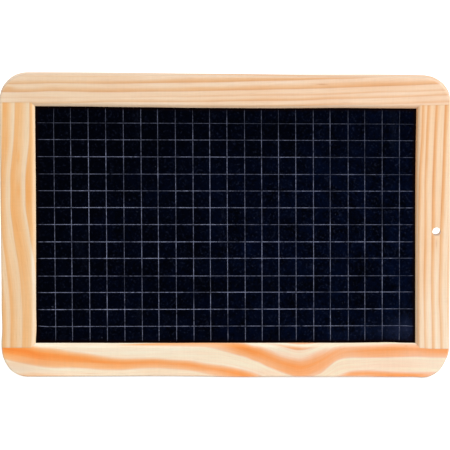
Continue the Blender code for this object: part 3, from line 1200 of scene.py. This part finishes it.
@dataclass(frozen=True)
class SlateFinish:
    """Ground natural slate, nearly black, with pale scribed lines and traces of wiped chalk."""

    name: str = "ground_slate"
    stone: Triple = (1, 2, 7)
    chalk_and_sheen: Triple = (3, 11, 33)
    traces: Triple = (96, 106, 138)
    dust: Triple = (96, 102, 122)
    fleck: Triple = (97, 106, 146)
    # rim is the colour of the painted shade along the frame.
    rim: Triple = (14, 5, 4)
    scribed: Triple = (143, 149, 177)

    def material(self) -> bpy.types.Material:
        """Builds the stone.

        The attribute scribe holds how much of a point is scribed, its pale haze, and its distance to the wood in
        millimetres. The haze is chalk, and where it rises to the right and below it is partly painted sheen. Close to
        the wood lies a dark rim of painted shade, the shadow where the slate runs under the frame. The lines break up
        and change their strength along their length, because the scriber runs over harder and softer spots.

        Returns:
            The material.
        """
        bench = NodeBench(bpy.data.materials.new(self.name))
        line, haze, wood_gap = bench.parts(bench.attribute("scribe"))
        place = bench.node("ShaderNodeTexCoord").outputs["Object"]
        cloud = bench.noise(place, (11.0, 11.0, 16.0), 4.0, 0.55, 3.0)
        smear = bench.noise(place, (95.0, 95.0, 26.0), 3.0, 0.6, 31.0)
        grit = bench.noise(place, 1900.0, 2.0, 0.6)
        skips = bench.noise(place, 420.0, 3.0, 0.7, 5.0)
        runs = bench.noise(place, 60.0, 2.0, 0.5, 9.0)
        dust = bench.noise(place, 300.0, 1.0, 0.5, 17.0)
        patchy = bench.noise(place, 85.0, 4.0, 0.65, 43.0)
        mottled = bench.noise(place, 520.0, 2.0, 0.7, 61.0)
        flecks = bench.noise(place, 850.0, 2.0, 0.6, 71.0)

        uneven = bench.maths(
            "ADD", bench.spread(cloud, 0.3, 0.7, 0.3, 1.5), bench.spread(patchy, 0.25, 0.75, -1.4, 1.6)
        )
        uneven = bench.maths("ADD", uneven, bench.spread(mottled, 0.25, 0.75, -0.8, 0.8))
        veil = bench.maths("MULTIPLY", bench.maths("ADD", haze, 0.03), uneven)
        veil = bench.maths("ADD", veil, bench.spread(mottled, 0.3, 0.8, -0.08, 0.12), clamp=True)
        # Pale haze over the stone: chalk, and in its rise to the right and below partly painted sheen.
        stone = bench.mix(veil, colour(*self.stone), colour(*self.chalk_and_sheen))
        traces = bench.product((smear, 0.62, 0.8, 0.0, 1.0), (grit, 0.4, 0.7, 0.0, 0.07))
        stone = bench.mix(traces, stone, colour(*self.traces))
        stone = bench.mix(bench.spread(dust, 0.8, 0.84, 0.0, 0.2), stone, colour(*self.dust))
        flecks = bench.product((flecks, 0.57, 0.8, 0.0, 0.085), (haze, 0.0, 0.5, 0.75, 1.35))
        chalk = bench.product((haze, 0.42, 1.0, 0.0, 0.05), (patchy, 0.3, 0.7, 0.2, 1.8))
        stone = bench.mix(bench.maths("ADD", flecks, chalk), stone, colour(*self.fleck))
        broken = bench.product((skips, 0.3, 0.66, 0.1, 1.04), (runs, 0.32, 0.68, 0.36, 1.36))
        stone = bench.mix(bench.maths("MULTIPLY", line, broken, clamp=True), stone, colour(*self.scribed))
        # Painted shade: within about two millimetres of the wood the slate goes dark, as in the frame's shadow.
        stone = bench.mix(bench.spread(wood_gap, 0.8, 2.3, 1.0, 0.0), stone, colour(*self.rim))
        return bench.surface(stone, bench.spread(cloud, 0.3, 0.7, 0.62, 0.74), grit, (0.012, 0.3), 0.004)


# Members


@dataclass(frozen=True)
class FrameMember:
    """What rails and stiles share: their cross-section, and the grain that their points carry.

    The numbers of steps say how finely each part of the cross-section is drawn. The moulding leaves the face at the
    first of its slopes, in degrees, and ends in the second. plough_over is how far the groove's cutter stands out.
    """

    member: Member
    layout: BoardLayout
    timber: Timber
    finish: PineFinish
    arris_steps: int = 6
    flat_steps: int = 46
    moulding_steps: int = 8
    nose_steps: int = 4
    wall_steps: int = 10
    flat_share: float = 17.5
    moulding_slopes: Pair = (12.0, 50.0)
    station_pitch: float = 0.75
    plough_over: float = 8.0

    def depth_at(self, edge_distance: Array) -> Array:
        """Half the thickness near the rounded arris.

        Formula: half the thickness, less what a quarter circle of the arris's radius takes off at that distance
        from the outline.

        Args:
            edge_distance: Distances to the outline.

        Returns:
            Half thicknesses.
        """
        radius = self.layout.arris
        inside = np.clip(radius - edge_distance, 0.0, radius)
        return self.layout.half_thickness - (radius - np.sqrt(radius**2 - inside**2))

    def front_places(self, outer: Array, along: Array) -> tuple[Array, Array]:
        """Places of the front's points, close together over the arris and even over the rest of the flat.

        Formula: the moulding is an arc that steepens between its two slopes, and ends over the upright nose.

        Args:
            outer: Distance of the outline from the member's outer edge, for each station.
            along: The stations' places along the member.

        Returns:
            Distances of the flat's points from the outer edge and those of the moulding's, a station in each row.
        """
        flat, sight = self.layout.flat_width(self.member, along), self.layout.sight_width(self.member, along)
        reach = self.layout.arris / self.flat_share
        rounded = reach * (1.0 - np.cos(rounded_steps(self.arris_steps)))
        face_share = np.concatenate([rounded, np.linspace(reach, 1.0, self.flat_steps + 1)[1:]])
        out = np.sin(self.moulding_angles())
        roll_share = np.append((out - out[0]) / (out[-1] - out[0]), 1.0)
        return outer + (flat - outer) * face_share[None, :], flat + (sight - flat) * roll_share[None, :]

    def moulding_angles(self) -> Array:
        """The moulding's slope at each of its points."""
        return np.radians(np.linspace(*self.moulding_slopes, self.moulding_steps + 1))

    def rings(self, face_in: Array, roll_in: Array, reach: Array, inner: Array, outer: Array) -> tuple[Array, Array]:
        """Closes the front's points into one ring round the member at each station.

        Formula: the flat has the full thickness, the moulding falls along its arc, and the arris limits both. The
        back mirrors the front. Even steps join the two on the inner edge and on the outer one.

        Args:
            face_in: Distances of the flat's points from the member's outer edge.
            roll_in: Distances of the moulding's points.
            reach: Half the thickness that the arris leaves at all these points.
            inner: Distance of the inner edge at each station.
            outer: Distance of the outline.

        Returns:
            Distances of the rings' points from the outer edge, and their places in the thickness.
        """
        layout = self.layout
        down = np.cos(self.moulding_angles())
        drop = layout.moulding_depth * (down[0] - down) / (down[0] - down[-1])
        drop = np.append(drop, layout.moulding_depth + layout.nose)
        flat_depth = np.full(face_in.shape, layout.half_thickness)
        roll_depth = np.broadcast_to(layout.half_thickness - drop[None, :], roll_in.shape)
        front_in = np.concatenate([face_in, roll_in], axis=1)
        front_y = -np.minimum(np.concatenate([flat_depth, roll_depth], axis=1), reach)
        inner_y = np.linspace(front_y[:, -1], -front_y[:, -1], self.nose_steps + 1, axis=1)[:, 1:-1]
        wall_y = np.linspace(-front_y[:, 0], front_y[:, 0], self.wall_steps + 1, axis=1)[:, 1:-1]
        sides = np.broadcast_to(inner, inner_y.shape), np.broadcast_to(outer, wall_y.shape)
        inward = np.concatenate([front_in, sides[0], front_in[:, ::-1], sides[1]], axis=1)
        return inward, np.concatenate([front_y, inner_y, -front_y[:, ::-1], wall_y], axis=1)

    def handled(self, points: Array) -> Array:
        """How much hands have greyed each point of the member."""
        return self.layout.handled(points)

    def dress(self, piece: bpy.types.Object) -> None:
        """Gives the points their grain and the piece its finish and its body.

        Args:
            piece: The finished shape, not yet settled.
        """
        mesh = piece.data
        drawn = read_points(mesh)
        soil, handled = self.layout.soil(drawn), self.handled(drawn)
        points = self.layout.settle(drawn)
        write_points(mesh, points)
        x, y, z = points.T
        along, across = (x, z) if self.member.is_rail else (z, x)
        rings, edges, fibre = self.timber.read(along, across, y + self.layout.half_thickness)
        end_grain = read_normals(mesh)[:, 0 if self.member.is_rail else 2] ** 4
        give_vector(mesh, "grain", [rings, edges, soil])
        give_vector(mesh, "fibre", [along, fibre, y])
        give_vector(mesh, "cut", [end_grain, handled, np.zeros(len(x))])
        smooth_shading(mesh)
        mesh.materials.clear()
        mesh.materials.append(self.finish.material())
        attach(piece, "root")
        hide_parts(self.member.value)
        note(piece)


@dataclass(frozen=True)
class Rail(FrameMember):
    """A level member across the board's whole width, with both rounded corners of its side.

    corner_steps and mitre_steps say how finely its corners and mitres are drawn, even_reach how far from the middle
    its even stations reach, and shoulder where one more stands between them and the mitre.
    """

    corner_steps: int = 46
    mitre_steps: int = 14
    even_reach: float = 106.0
    shoulder: float = 107.5
    plough_half_length: float = 140.0

    def radius(self, x: Array) -> Array:
        """The corner's radius on the side of each place."""
        radii = self.layout.corner_radii
        return np.where(x < 0, radii[(self.member, Member.LEFT)], radii[(self.member, Member.RIGHT)])

    def stations(self) -> Array:
        """Places along the rail: equal angles over each corner, closer together at the mitres.

        Returns:
            The places from left to right.
        """
        parts = [np.array([-self.shoulder, self.shoulder])]
        for stile in STILES:
            radius = self.layout.corner_radii[(self.member, stile)]
            turn = self.layout.half_width - radius + radius * np.sin(rounded_steps(self.corner_steps))
            near, far, _, _ = self.layout.mitre(self.member, stile)
            parts += [stile.sign * turn, stile.sign * np.linspace(near, far, self.mitre_steps + 1)]
        reach = self.even_reach
        parts.append(np.linspace(-reach, reach, round(2 * reach / self.station_pitch) + 1))
        return np.unique(np.round(np.concatenate(parts), 4))

    def shape(self) -> bpy.types.Object:
        """Builds the rail.

        Formula: a closed ring of points in the upright plane across the rail, carried along it. On each face the
        ring goes from the outline inwards, its depth following the distance to the outline. It is held back at the
        shoulder and mitre lines.

        Returns:
            The object, before the groove is cut.
        """
        layout = self.layout
        x = self.stations()[:, None]
        radius = self.radius(x)
        over = np.clip(np.abs(x) - (layout.half_width - radius), 0.0, radius)
        outer = radius - np.sqrt(np.clip(radius**2 - over**2, 0.0, None))
        limit = layout.rail_line(self.member, x)
        face_in, roll_in = self.front_places(outer, x)
        roll_in = np.minimum(roll_in, limit)
        front_in = np.concatenate([face_in, roll_in], axis=1)
        rim = radius - np.hypot(over, np.clip(radius - front_in, 0.0, None))
        rim = np.where(front_in >= radius, layout.half_width - np.abs(x), rim)
        inward, y = self.rings(face_in, roll_in, self.depth_at(np.clip(rim, 0.0, None)), limit, outer)
        points = np.stack([np.broadcast_to(x, y.shape), y, layout.turned(self.member, inward)], axis=-1)
        return ring_solid(self.member.value + "_pine", points)

    def build(self) -> None:
        """Shapes the rail, ploughs its groove from end to end and dresses it."""
        layout = self.layout
        piece = self.shape()
        low, high = sorted(
            layout.turned(self.member, inward)
            for inward in (layout.member_width - layout.groove_reach, layout.member_width + self.plough_over)
        )
        half, length = layout.groove_half, self.plough_half_length
        cut_away(piece, [box_solid("plough", (-length, -half, low), (length, half, high))])
        self.dress(piece)


@dataclass(frozen=True)
class Stile(FrameMember):
    """An upright member between the rails, with a tongue at each end that fills the rail's groove.

    level_over is how far past the rails' inner edges its widths are read. hole_place is the hanging hole's middle
    at the front, across and up, and hole_lean how far its line has moved at the back. hole_grey is how greyed its
    wall is, and hole_margin how far into the wood that is read. tongue_root is how far inside the stile a tongue
    begins, outer_room and inner_room what it leaves of the groove, and shoulder where across the board it is read
    how far the stile reaches.
    """

    level_over: float = 2.5
    hole_place: Pair | None = None
    hole_lean: Pair = (0.0, 0.0)
    hole_radius: float = 2.4
    hole_points: int = 72
    hole_grey: float = 0.8
    hole_margin: float = 0.05
    drill_half_length: float = 6.0
    tongue_root: float = 1.0
    tongue_stations: int = 12
    tongue_side: int = 5
    outer_room: float = 0.04
    inner_room: float = 0.1
    shoulder: float = 121.0

    def hole_middle(self, y: Array | float) -> tuple[Array | float, Array | float]:
        """Middle of the hole, across and up, at a place in the thickness: its line leans a little."""
        share = (y + self.layout.half_thickness) / (2 * self.layout.half_thickness)
        return self.hole_place[0] + self.hole_lean[0] * share, self.hole_place[1] + self.hole_lean[1] * share

    def handled(self, points: Array) -> Array:
        """How much each point is greyed: like the outline, and more in the hole, where a cord has rubbed.

        Args:
            points: Points as drawn, one in each row.

        Returns:
            The shares of grey.
        """
        greyed = self.layout.handled(points)
        if self.hole_place is None:
            return greyed
        across, up = self.hole_middle(points[:, 1])
        in_hole = np.hypot(points[:, 0] - across, points[:, 2] - up) < self.hole_radius + self.hole_margin
        return np.where(in_hole, self.hole_grey, greyed)

    def rail_limit(self, rail: Member, x: Array) -> Array:
        """Height at which the stile ends against a rail at each place."""
        return self.layout.turned(rail, self.layout.rail_line(rail, x) + self.layout.joint_gap)

    def shape(self) -> bpy.types.Object:
        """Builds the stile without its tongues.

        Formula: the closed cross-section is carried upwards, and each of its points runs from the lower rail's
        shoulder or mitre line to the upper one's.

        Returns:
            The object, before the groove and the hole are cut.
        """
        layout = self.layout
        length = layout.height - 2 * layout.member_width
        share = np.linspace(0.0, 1.0, round(length / self.station_pitch) + 1)[:, None]
        level = layout.member_width - self.level_over + share * (length + 2 * self.level_over)
        outer, sight = np.zeros(level.shape), layout.sight_width(self.member, level)
        face_in, roll_in = self.front_places(outer, level)
        reach = self.depth_at(np.concatenate([face_in, roll_in], axis=1))
        inward, y = self.rings(face_in, roll_in, reach, sight, outer)
        x = self.member.sign * (layout.half_width - inward)
        low, high = self.rail_limit(Member.BOTTOM, x), self.rail_limit(Member.TOP, x)
        points = np.stack([x, y, low + (high - low) * share], axis=-1)
        stations, ring = y.shape
        faces = quads(stations, ring, True)
        for start in (0, (stations - 1) * ring):
            faces.extend(self.end_faces(start, reach.shape[1], self.nose_steps - 1, ring))
        return closed_object(self.member.value + "_pine", points.reshape(-1, 3), faces)

    def end_faces(self, start: int, half: int, between: int, ring: int) -> list[list[int]]:
        """Closes an end of the stile with strips from the front to the back.

        Args:
            start: Number of the end ring's first point.
            half: How many points of the ring lie on each face.
            between: How many lie on the inner edge.
            ring: How many there are in all.

        Returns:
            The strips' corner numbers.
        """
        front = start + np.arange(half)
        back = start + 2 * half + between - 1 - np.arange(half)
        strips = np.stack([back[2:], back[1:-1], front[1:-1], front[2:]], axis=-1).tolist()
        wall = list(range(start + 2 * half + between, start + ring))
        outer = [int(back[1]), int(back[0]), *wall, int(front[0]), int(front[1])]
        inner = [int(front[-1]), *range(start + half, start + half + between), int(back[-1])]
        return strips + [outer, inner]

    def tongue(self, rail: Member) -> bpy.types.Object:
        """Builds the tongue that reaches into a rail.

        Formula: a ring of points round the tongue, carried up its length. Its outer side follows the rail's rounded
        end and stays a hair inside it.

        Args:
            rail: The rail that it enters.

        Returns:
            The tongue, rooted a little inside the stile.
        """
        layout = self.layout
        radius = layout.corner_radii[(rail, self.member)]
        shoulder = layout.flat_width(rail, np.array([self.member.sign * self.shoulder]))[0]
        end = layout.member_width - layout.groove_reach + layout.tongue_end_gap
        inward = np.linspace(shoulder + self.tongue_root, end, self.tongue_stations)[:, None]
        rise = np.clip(radius - inward, 0.0, radius)
        outer = layout.half_width - radius + np.sqrt(radius**2 - rise**2) - self.outer_room
        inner = layout.half_width - layout.member_width + layout.groove_reach + self.inner_room
        side = np.linspace(-layout.tongue_half, layout.tongue_half, self.tongue_side)[None, :]
        wide = (self.tongue_stations, self.tongue_side)
        x = np.concatenate([np.broadcast_to(outer, wide), np.broadcast_to(inner, wide)], axis=1)
        y = np.concatenate([np.broadcast_to(side, wide), np.broadcast_to(-side, wide)], axis=1)
        z = np.broadcast_to(layout.turned(rail, inward), x.shape)
        return ring_solid("tongue", np.stack([self.member.sign * x, y, z], axis=-1))

    def drill(self) -> bpy.types.Object:
        """The hanging hole as a solid.

        Formula: a circle of points carried from before the front face to behind the back one, along a line that
        leans a little, because the hole was drilled by hand.

        Returns:
            The cutter.
        """
        turn = np.linspace(0.0, 2 * math.pi, self.hole_points, endpoint=False)
        y = np.array([[-self.drill_half_length], [self.drill_half_length]]) + 0 * turn
        across, up = self.hole_middle(y)
        x = across + self.hole_radius * np.cos(turn)
        z = up + self.hole_radius * np.sin(turn)
        return ring_solid("drill", np.stack([x, y, z], axis=-1))

    def build(self) -> None:
        """Shapes the stile, ploughs its groove, drills its hole, adds its tongues and dresses it."""
        layout = self.layout
        piece = self.shape()
        opening = layout.half_width - layout.member_width
        low, high = sorted(self.member.sign * (opening + past) for past in (layout.groove_reach, -self.plough_over))
        half = layout.groove_half
        cutters = [box_solid("plough", (low, -half, 0.0), (high, half, layout.height))]
        if self.hole_place is not None:
            cutters.append(self.drill())
        cut_away(piece, cutters)
        join_into(piece, [self.tongue(Member.BOTTOM), self.tongue(Member.TOP)])
        self.dress(piece)


# Slate


@dataclass(frozen=True)
class SlatePanel:
    """The slate, with its scribed squares as real V cuts on the front.

    The scriber was set to ten millimetres. wander is how far each line strays from its place and force how hard it
    was scribed, from the left and from the top. lean and slope are how far the upright and the level lines are out
    of square. Beside the panel's own edges they straighten, the faster the higher straighten is. skipped holds the
    spots, across and up, where a level line has a gap, gap_half its half size and gap_steps the points laid over it.
    upright_start and level_run are how the strength changes along the lines: the scriber was set down lightly at the
    top. shade_right and shade_top are where the frame's shade is full and where it ends, and in_shade what it leaves
    of the lines. even_haze is the chalk in the middle, and haze_slope what the haze gains to the right for each
    millimetre. haze_below and haze_above hold two heights and what it gains or loses from the first to the second;
    this rise to the right and towards the bottom is partly chalk and partly painted sheen. smudges holds patches with
    more or less chalk.
    """

    layout: BoardLayout
    finish: SlateFinish
    half_width: float = 115.7
    half_height: float = 75.7
    half_thickness: float = 1.5
    upright_middle: float = 1.33
    upright_pitch: float = 9.934
    upright_lean: float = -0.0063
    level_middle: float = 91.05
    level_pitch: float = 10.035
    level_slope: float = 0.0043
    slope_change: float = -0.0006
    line_width: float = 0.52
    line_depth: float = 0.15
    sharp_angle: float = 60.0
    straighten: float = 12.0
    shade_right: Pair = (110.4, 108.4)
    shade_top: Pair = (160.2, 158.6)
    in_shade: float = 0.35
    even_haze: float = 0.215
    haze_slope: float = 0.0019
    haze_below: Triple = (70.0, 30.0, 0.04)
    haze_above: Triple = (110.0, 145.0, 0.14)
    skipped: Knots = ((25.9, 90.9), (-66.0, 120.8), (-33.7, 71.0), (85.6, 41.0), (44.3, 31.2))
    gap_half: Pair = (0.9, 1.5)
    gap_steps: tuple[float, ...] = (-1.2, -0.6, 0.0, 0.6, 1.2)
    upright_wander: tuple[float, ...] = (
        -0.18, -0.4, -0.21, -0.08, 0.12, 0.3, -0.01, 0.24, 0.33, 0.09, 0.09,
        0.27, 0.07, -0.1, -0.13, 0.05, -0.23, 0.19, -0.21, -0.11, -0.11,
    )
    level_wander: tuple[float, ...] = (
        -0.18, 0.04, 0.04, -0.12, 0.05, 0.17, 0.17, -0.05, 0.19, -0.25, 0.06, -0.03, -0.09,
    )
    upright_force: tuple[float, ...] = (
        0.78, 0.95, 1.18, 1.11, 0.71, 1.11, 1.15, 0.82, 0.89, 1.26, 1.13,
        0.87, 1.24, 1.05, 0.83, 0.9, 0.91, 0.73, 0.83, 0.87, 0.73,
    )
    level_force: tuple[float, ...] = (0.4, 0.65, 0.92, 0.7, 0.89, 1.12, 1.02, 1.25, 0.96, 1.01, 1.29, 1.38, 0.96)
    upright_start: Knots = (
        (20, 0.98), (36, 1.0), (50, 1.08), (110, 1.02), (128, 1.02), (140, 0.9), (150, 0.66), (160, 0.42),
    )
    level_run: Knots = (
        (-110, 0.92), (-95, 1.15), (-60, 1.2), (-30, 1.1), (0, 1.1), (30, 1.12), (52, 1.0), (80, 0.95), (96, 0.8),
        (108, 0.62),
    )
    smudges: tuple[Patch, ...] = (
        Patch(81.9, 45.4, 10.0, 8.0, -0.27),
        Patch(79.0, 63.0, 13.0, 5.0, -0.17),
        Patch(103.0, 28.0, 10.0, 7.5, 0.48),
        Patch(75.0, 28.0, 22.0, 5.0, 0.16),
        Patch(-21.0, 102.0, 5.0, 9.0, -0.14),
        Patch(-27.0, 87.0, 5.0, 8.0, -0.14),
        Patch(32.9, 146.5, 8.0, 6.0, -0.14),
        Patch(12.0, 76.0, 12.0, 10.0, 0.1),
        Patch(-73.0, 88.0, 13.0, 12.0, 0.08),
        Patch(62.0, 74.0, 26.0, 9.0, 0.09),
    )

    def scribed_places(
        self, centres: Array, forces: tuple[float, ...], ends: Array, extra: Array
    ) -> tuple[Array, Array]:
        """Places of grid lines across one set of scribed lines.

        Formula: five places over each line, from edge to edge, with the weight of a tent that is 1 in the middle,
        and three more between neighbours.

        Args:
            centres: Middles of the lines in rising order.
            forces: How hard each line was scribed.
            ends: Where the panel begins and where it ends.
            extra: More places between the lines, where a line that crosses them was skipped.

        Returns:
            The places, and in two rows how much each one is scribed and how pale that leaves it.
        """
        half = self.line_width / 2
        offsets = np.linspace(-1.0, 1.0, 5)
        marks = np.concatenate([ends[:1], centres, ends[1:]])
        between = np.linspace(marks[:-1] + half, marks[1:] - half, 5)[1:-1].T.ravel()
        plain = np.concatenate([between, ends, extra])
        places = np.concatenate([(centres[:, None] + offsets * half).ravel(), plain])
        weights = np.concatenate([np.tile(1.0 - np.abs(offsets), len(centres)), np.zeros(len(plain))])
        order = np.argsort(places)
        places, weights = places[order], weights[order]
        nearest = np.abs(places[:, None] - centres).argmin(axis=1)
        return places, np.stack([weights, weights * np.array(forces)[nearest]])

    def grid(self) -> tuple[Array, Array, Array, Array]:
        """Lays the grid of points that follows the scribed lines.

        Formula: the grid leans with the lines inside the panel and is square at its edges. Where two lines cross,
        the deeper cut and the paler line count.

        Returns:
            Places across and up, how deep each point is scribed, and how pale it is.
        """
        steps = np.arange(len(self.upright_wander)) - (len(self.upright_wander) - 1) / 2
        uprights = self.upright_middle + self.upright_pitch * steps + np.array(self.upright_wander)
        steps = (len(self.level_wander) - 1) / 2 - np.arange(len(self.level_wander))
        levels = self.level_middle + self.level_pitch * steps + np.array(self.level_wander)
        middle = self.layout.height / 2
        extra = np.concatenate([across + np.array(self.gap_steps) for across, _ in self.skipped])
        sides = np.array([-self.half_width, self.half_width])
        ends = np.array([middle - self.half_height, middle + self.half_height])
        u, u_lines = self.scribed_places(uprights, self.upright_force, sides, extra)
        v, v_lines = self.scribed_places(levels[::-1], self.level_force[::-1], ends, extra[:0])
        across, up = np.meshgrid(u, v)
        inside = (1 - (across / self.half_width) ** 2) * (1 - ((up - middle) / self.half_height) ** 2)
        inside = np.clip(inside * self.straighten, 0.0, 1.0)
        slope = self.level_slope + self.slope_change * (up - self.level_middle) / self.level_pitch
        x = across + inside * self.upright_lean * (up - middle)
        z = up + inside * slope * across
        line = np.maximum(u_lines[0], v_lines[0][:, None])
        uprights_pale = u_lines[1] * curve_through(self.upright_start, v)[:, None]
        levels_pale = v_lines[1][:, None] * curve_through(self.level_run, u)
        return x, z, line, np.maximum(uprights_pale, levels_pale)

    def haze(self, x: Array, z: Array) -> Array:
        """How much pale haze lies at each place: chalk, and in its rise to the right and below partly painted sheen.

        Formula: a little more to the right and below, and less above, with the smudges added.

        Args:
            x: Places across.
            z: Heights.

        Returns:
            Shares from 0 to 1.
        """
        below, above = (gain * ease(low, high, z) for low, high, gain in (self.haze_below, self.haze_above))
        haze = self.even_haze + self.haze_slope * x + below - above
        for smudge in self.smudges:
            haze = haze + smudge.read(x, z)
        return np.clip(haze, 0.0, 1.0)

    def build(self) -> None:
        """Builds and dresses the panel.

        Formula: the front is the grid, with V cuts along the lines. The back is the same grid left plain, and the
        edges join the two. The lines fade in the shade of the frame at the right and at the top.
        """
        x, z, line, pale = self.grid()
        front = np.stack([x, -self.half_thickness + self.line_depth * line, z], axis=-1).reshape(-1, 3)
        back = np.stack([x, np.full(x.shape, self.half_thickness), z], axis=-1).reshape(-1, 3)
        rows, columns = x.shape
        number = np.arange(rows * columns).reshape(rows, columns)
        rim = np.concatenate([number[0], number[1:, -1], number[-1, -2::-1], number[-2:0:-1, 0]])
        beside, behind = np.roll(rim, -1), len(front)
        faces = quads(rows, columns)
        faces += (np.array(faces)[:, ::-1] + behind).tolist()
        faces += np.stack([beside, rim, rim + behind, beside + behind], axis=-1).tolist()
        piece = closed_object("slate_panel", np.concatenate([front, back]), faces)

        mesh = piece.data
        points = read_points(mesh)
        x, _, z = points.T
        lit = self.in_shade + (1.0 - self.in_shade) * ease(*self.shade_right, x) * ease(*self.shade_top, z)
        scribed = np.concatenate([pale.ravel(), np.zeros(len(back))]) * lit
        for place in self.skipped:
            scribed = scribed * (1.0 - Patch(*place, *self.gap_half).read(x, z))
        give_vector(mesh, "scribe", [scribed, self.haze(x, z), self.layout.wood_gap(points)])
        smooth_shading(mesh, self.sharp_angle)
        mesh.materials.append(self.finish.material())
        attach(piece, "root")
        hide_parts("slate")
        note(piece)


# Studio


@dataclass(frozen=True)
class Lamp:
    """A square lamp: where it hangs and the length of its side, in metres, and its power in watts."""

    name: str
    place: Triple
    size: float
    power: float


@dataclass(frozen=True)
class Studio:
    """Plain pale floor, soft light from the upper right, a weak lamp at the left edge, and the camera.

    Angles are in degrees, lengths in metres and the lens in millimetres. elevation and to_the_right say where the
    camera stands as seen from the board.
    """

    target: Triple = (0.0, 0.0, 0.0906)
    elevation: float = 13.94
    to_the_right: float = 0.78
    roll: float = 0.074
    distance: float = 4.6015
    lens: float = 638.5
    lamps: tuple[Lamp, ...] = (
        Lamp("key", (4.5, -3.75, 4.74), 3.5, 502.0),
        Lamp("fill", (-1.3, 2.2, 1.1), 1.6, 28.0),
        Lamp("side", (-3.0, 0.24, 0.09), 0.16, 20.0),
    )
    world_light: float = 0.36
    floor_glow: float = 0.76
    floor_paint: Triple = (222, 222, 222)
    floor_half: float = 3.0
    floor_level: float = -0.00002

    def lay_floor(self) -> None:
        """Lays the floor: a wide sheet, nearly white, that shows white to the camera and keeps the shadow.

        Formula: a grid of two by two points at the given half size.
        """
        across, deep = np.meshgrid([-self.floor_half, self.floor_half], [-self.floor_half, self.floor_half])
        points = np.stack([across, deep, np.full(across.shape, self.floor_level)], axis=-1).reshape(-1, 3)
        mesh = bpy.data.meshes.new("floor")
        mesh.from_pydata(points.tolist(), [], quads(2, 2))
        floor = add_object("floor", mesh)
        bench = NodeBench(bpy.data.materials.new("pale_floor"))
        paint = bench.node("ShaderNodeBsdfDiffuse", {"Color": colour(*self.floor_paint)})
        strength = bench.maths("MULTIPLY", bench.seen(), self.floor_glow)
        glow = bench.node("ShaderNodeEmission", {"Color": WHITE, "Strength": strength})
        both = bench.node("ShaderNodeAddShader", {0: paint.outputs[0], 1: glow.outputs[0]})
        mesh.materials.append(bench.close(both, "ShaderNodeOutputMaterial"))

    def light(self) -> None:
        """Turns the lamps to the board and sets the room's even light, which is white where the camera sees it."""
        for lamp in self.lamps:
            data = bpy.data.lights.new(lamp.name, "AREA")
            data.shape = "SQUARE"
            data.size = lamp.size
            data.energy = lamp.power
            hung = add_object(lamp.name, data)
            hung.location = lamp.place
            hung.rotation_euler = (Vector(self.target) - Vector(lamp.place)).to_track_quat("-Z", "Y").to_euler()

        bench = NodeBench(bpy.data.worlds.new("room"))
        room = bench.node("ShaderNodeBackground", {"Color": WHITE, "Strength": self.world_light})
        white = bench.node("ShaderNodeBackground", {"Color": WHITE})
        mixed = bench.node("ShaderNodeMixShader", {0: bench.seen(), 1: room.outputs[0], 2: white.outputs[0]})
        bpy.context.scene.world = bench.close(mixed, "ShaderNodeOutputWorld")

    def set_camera(self) -> None:
        """Places the camera on its line of sight, looking at the target, with the small roll."""
        rise, side = math.radians(self.elevation), math.radians(self.to_the_right)
        away = Vector((math.sin(side) * math.cos(rise), -math.cos(side) * math.cos(rise), math.sin(rise)))
        data = bpy.data.cameras.new("camera")
        data.sensor_width = 36.0
        data.lens = self.lens
        data.clip_end = 50.0
        camera = add_object("camera", data)
        turn = (-away).to_track_quat("-Z", "Y").to_matrix().to_4x4()
        roll = Matrix.Rotation(math.radians(self.roll), 4, "Z")
        camera.matrix_world = Matrix.Translation(Vector(self.target) + away * self.distance) @ turn @ roll
        bpy.context.scene.camera = camera

    def build(self) -> None:
        """Sets up the floor, the lights, the camera and the plain colour view."""
        self.lay_floor()
        self.light()
        self.set_camera()
        bpy.context.scene.view_settings.view_transform = "Standard"


TOP_PINE = PineFinish(
    "top_rail_pine", (251, 216, 184), (237, 175, 121), (208, 146, 102), (250, 238, 228), 0.45, 1.0,
    near_tint=(244, 252, 254),
)
BOTTOM_PINE = PineFinish(
    "bottom_rail_pine", (253, 236, 209), (252, 144, 56), (218, 146, 88), (253, 247, 240), 0.3, 41.0,
    resin=(0.3, 0.66),
)
LEFT_PINE = PineFinish(
    "left_stile_pine", (242, 212, 175), (241, 174, 104), (214, 150, 98), (252, 244, 236), 0.55, 83.0,
    resin=(0.1, 0.1),
)
RIGHT_PINE = PineFinish(
    "right_stile_pine", (253, 220, 185), (234, 160, 99), (210, 143, 95), (252, 243, 231), 0.45, 127.0,
)


def main() -> None:
    """Builds the board and its studio, and logs how many points and faces each dressed piece has."""
    logging.basicConfig(level=logging.INFO, format="%(name)s %(message)s")
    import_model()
    layout = BoardLayout()
    parts: list[SlatePanel | Rail | Stile] = [
        SlatePanel(layout, SlateFinish()),
        Rail(Member.TOP, layout, TOP_TIMBER, TOP_PINE),
        Rail(Member.BOTTOM, layout, BOTTOM_TIMBER, BOTTOM_PINE),
        Stile(Member.LEFT, layout, LEFT_TIMBER, LEFT_PINE),
        Stile(Member.RIGHT, layout, RIGHT_TIMBER, RIGHT_PINE, hole_place=(122.15, 88.2), hole_lean=(-0.55, -0.7)),
    ]
    for part in parts:
        part.build()
    Studio().build()


if __name__ == "__main__":
    main()
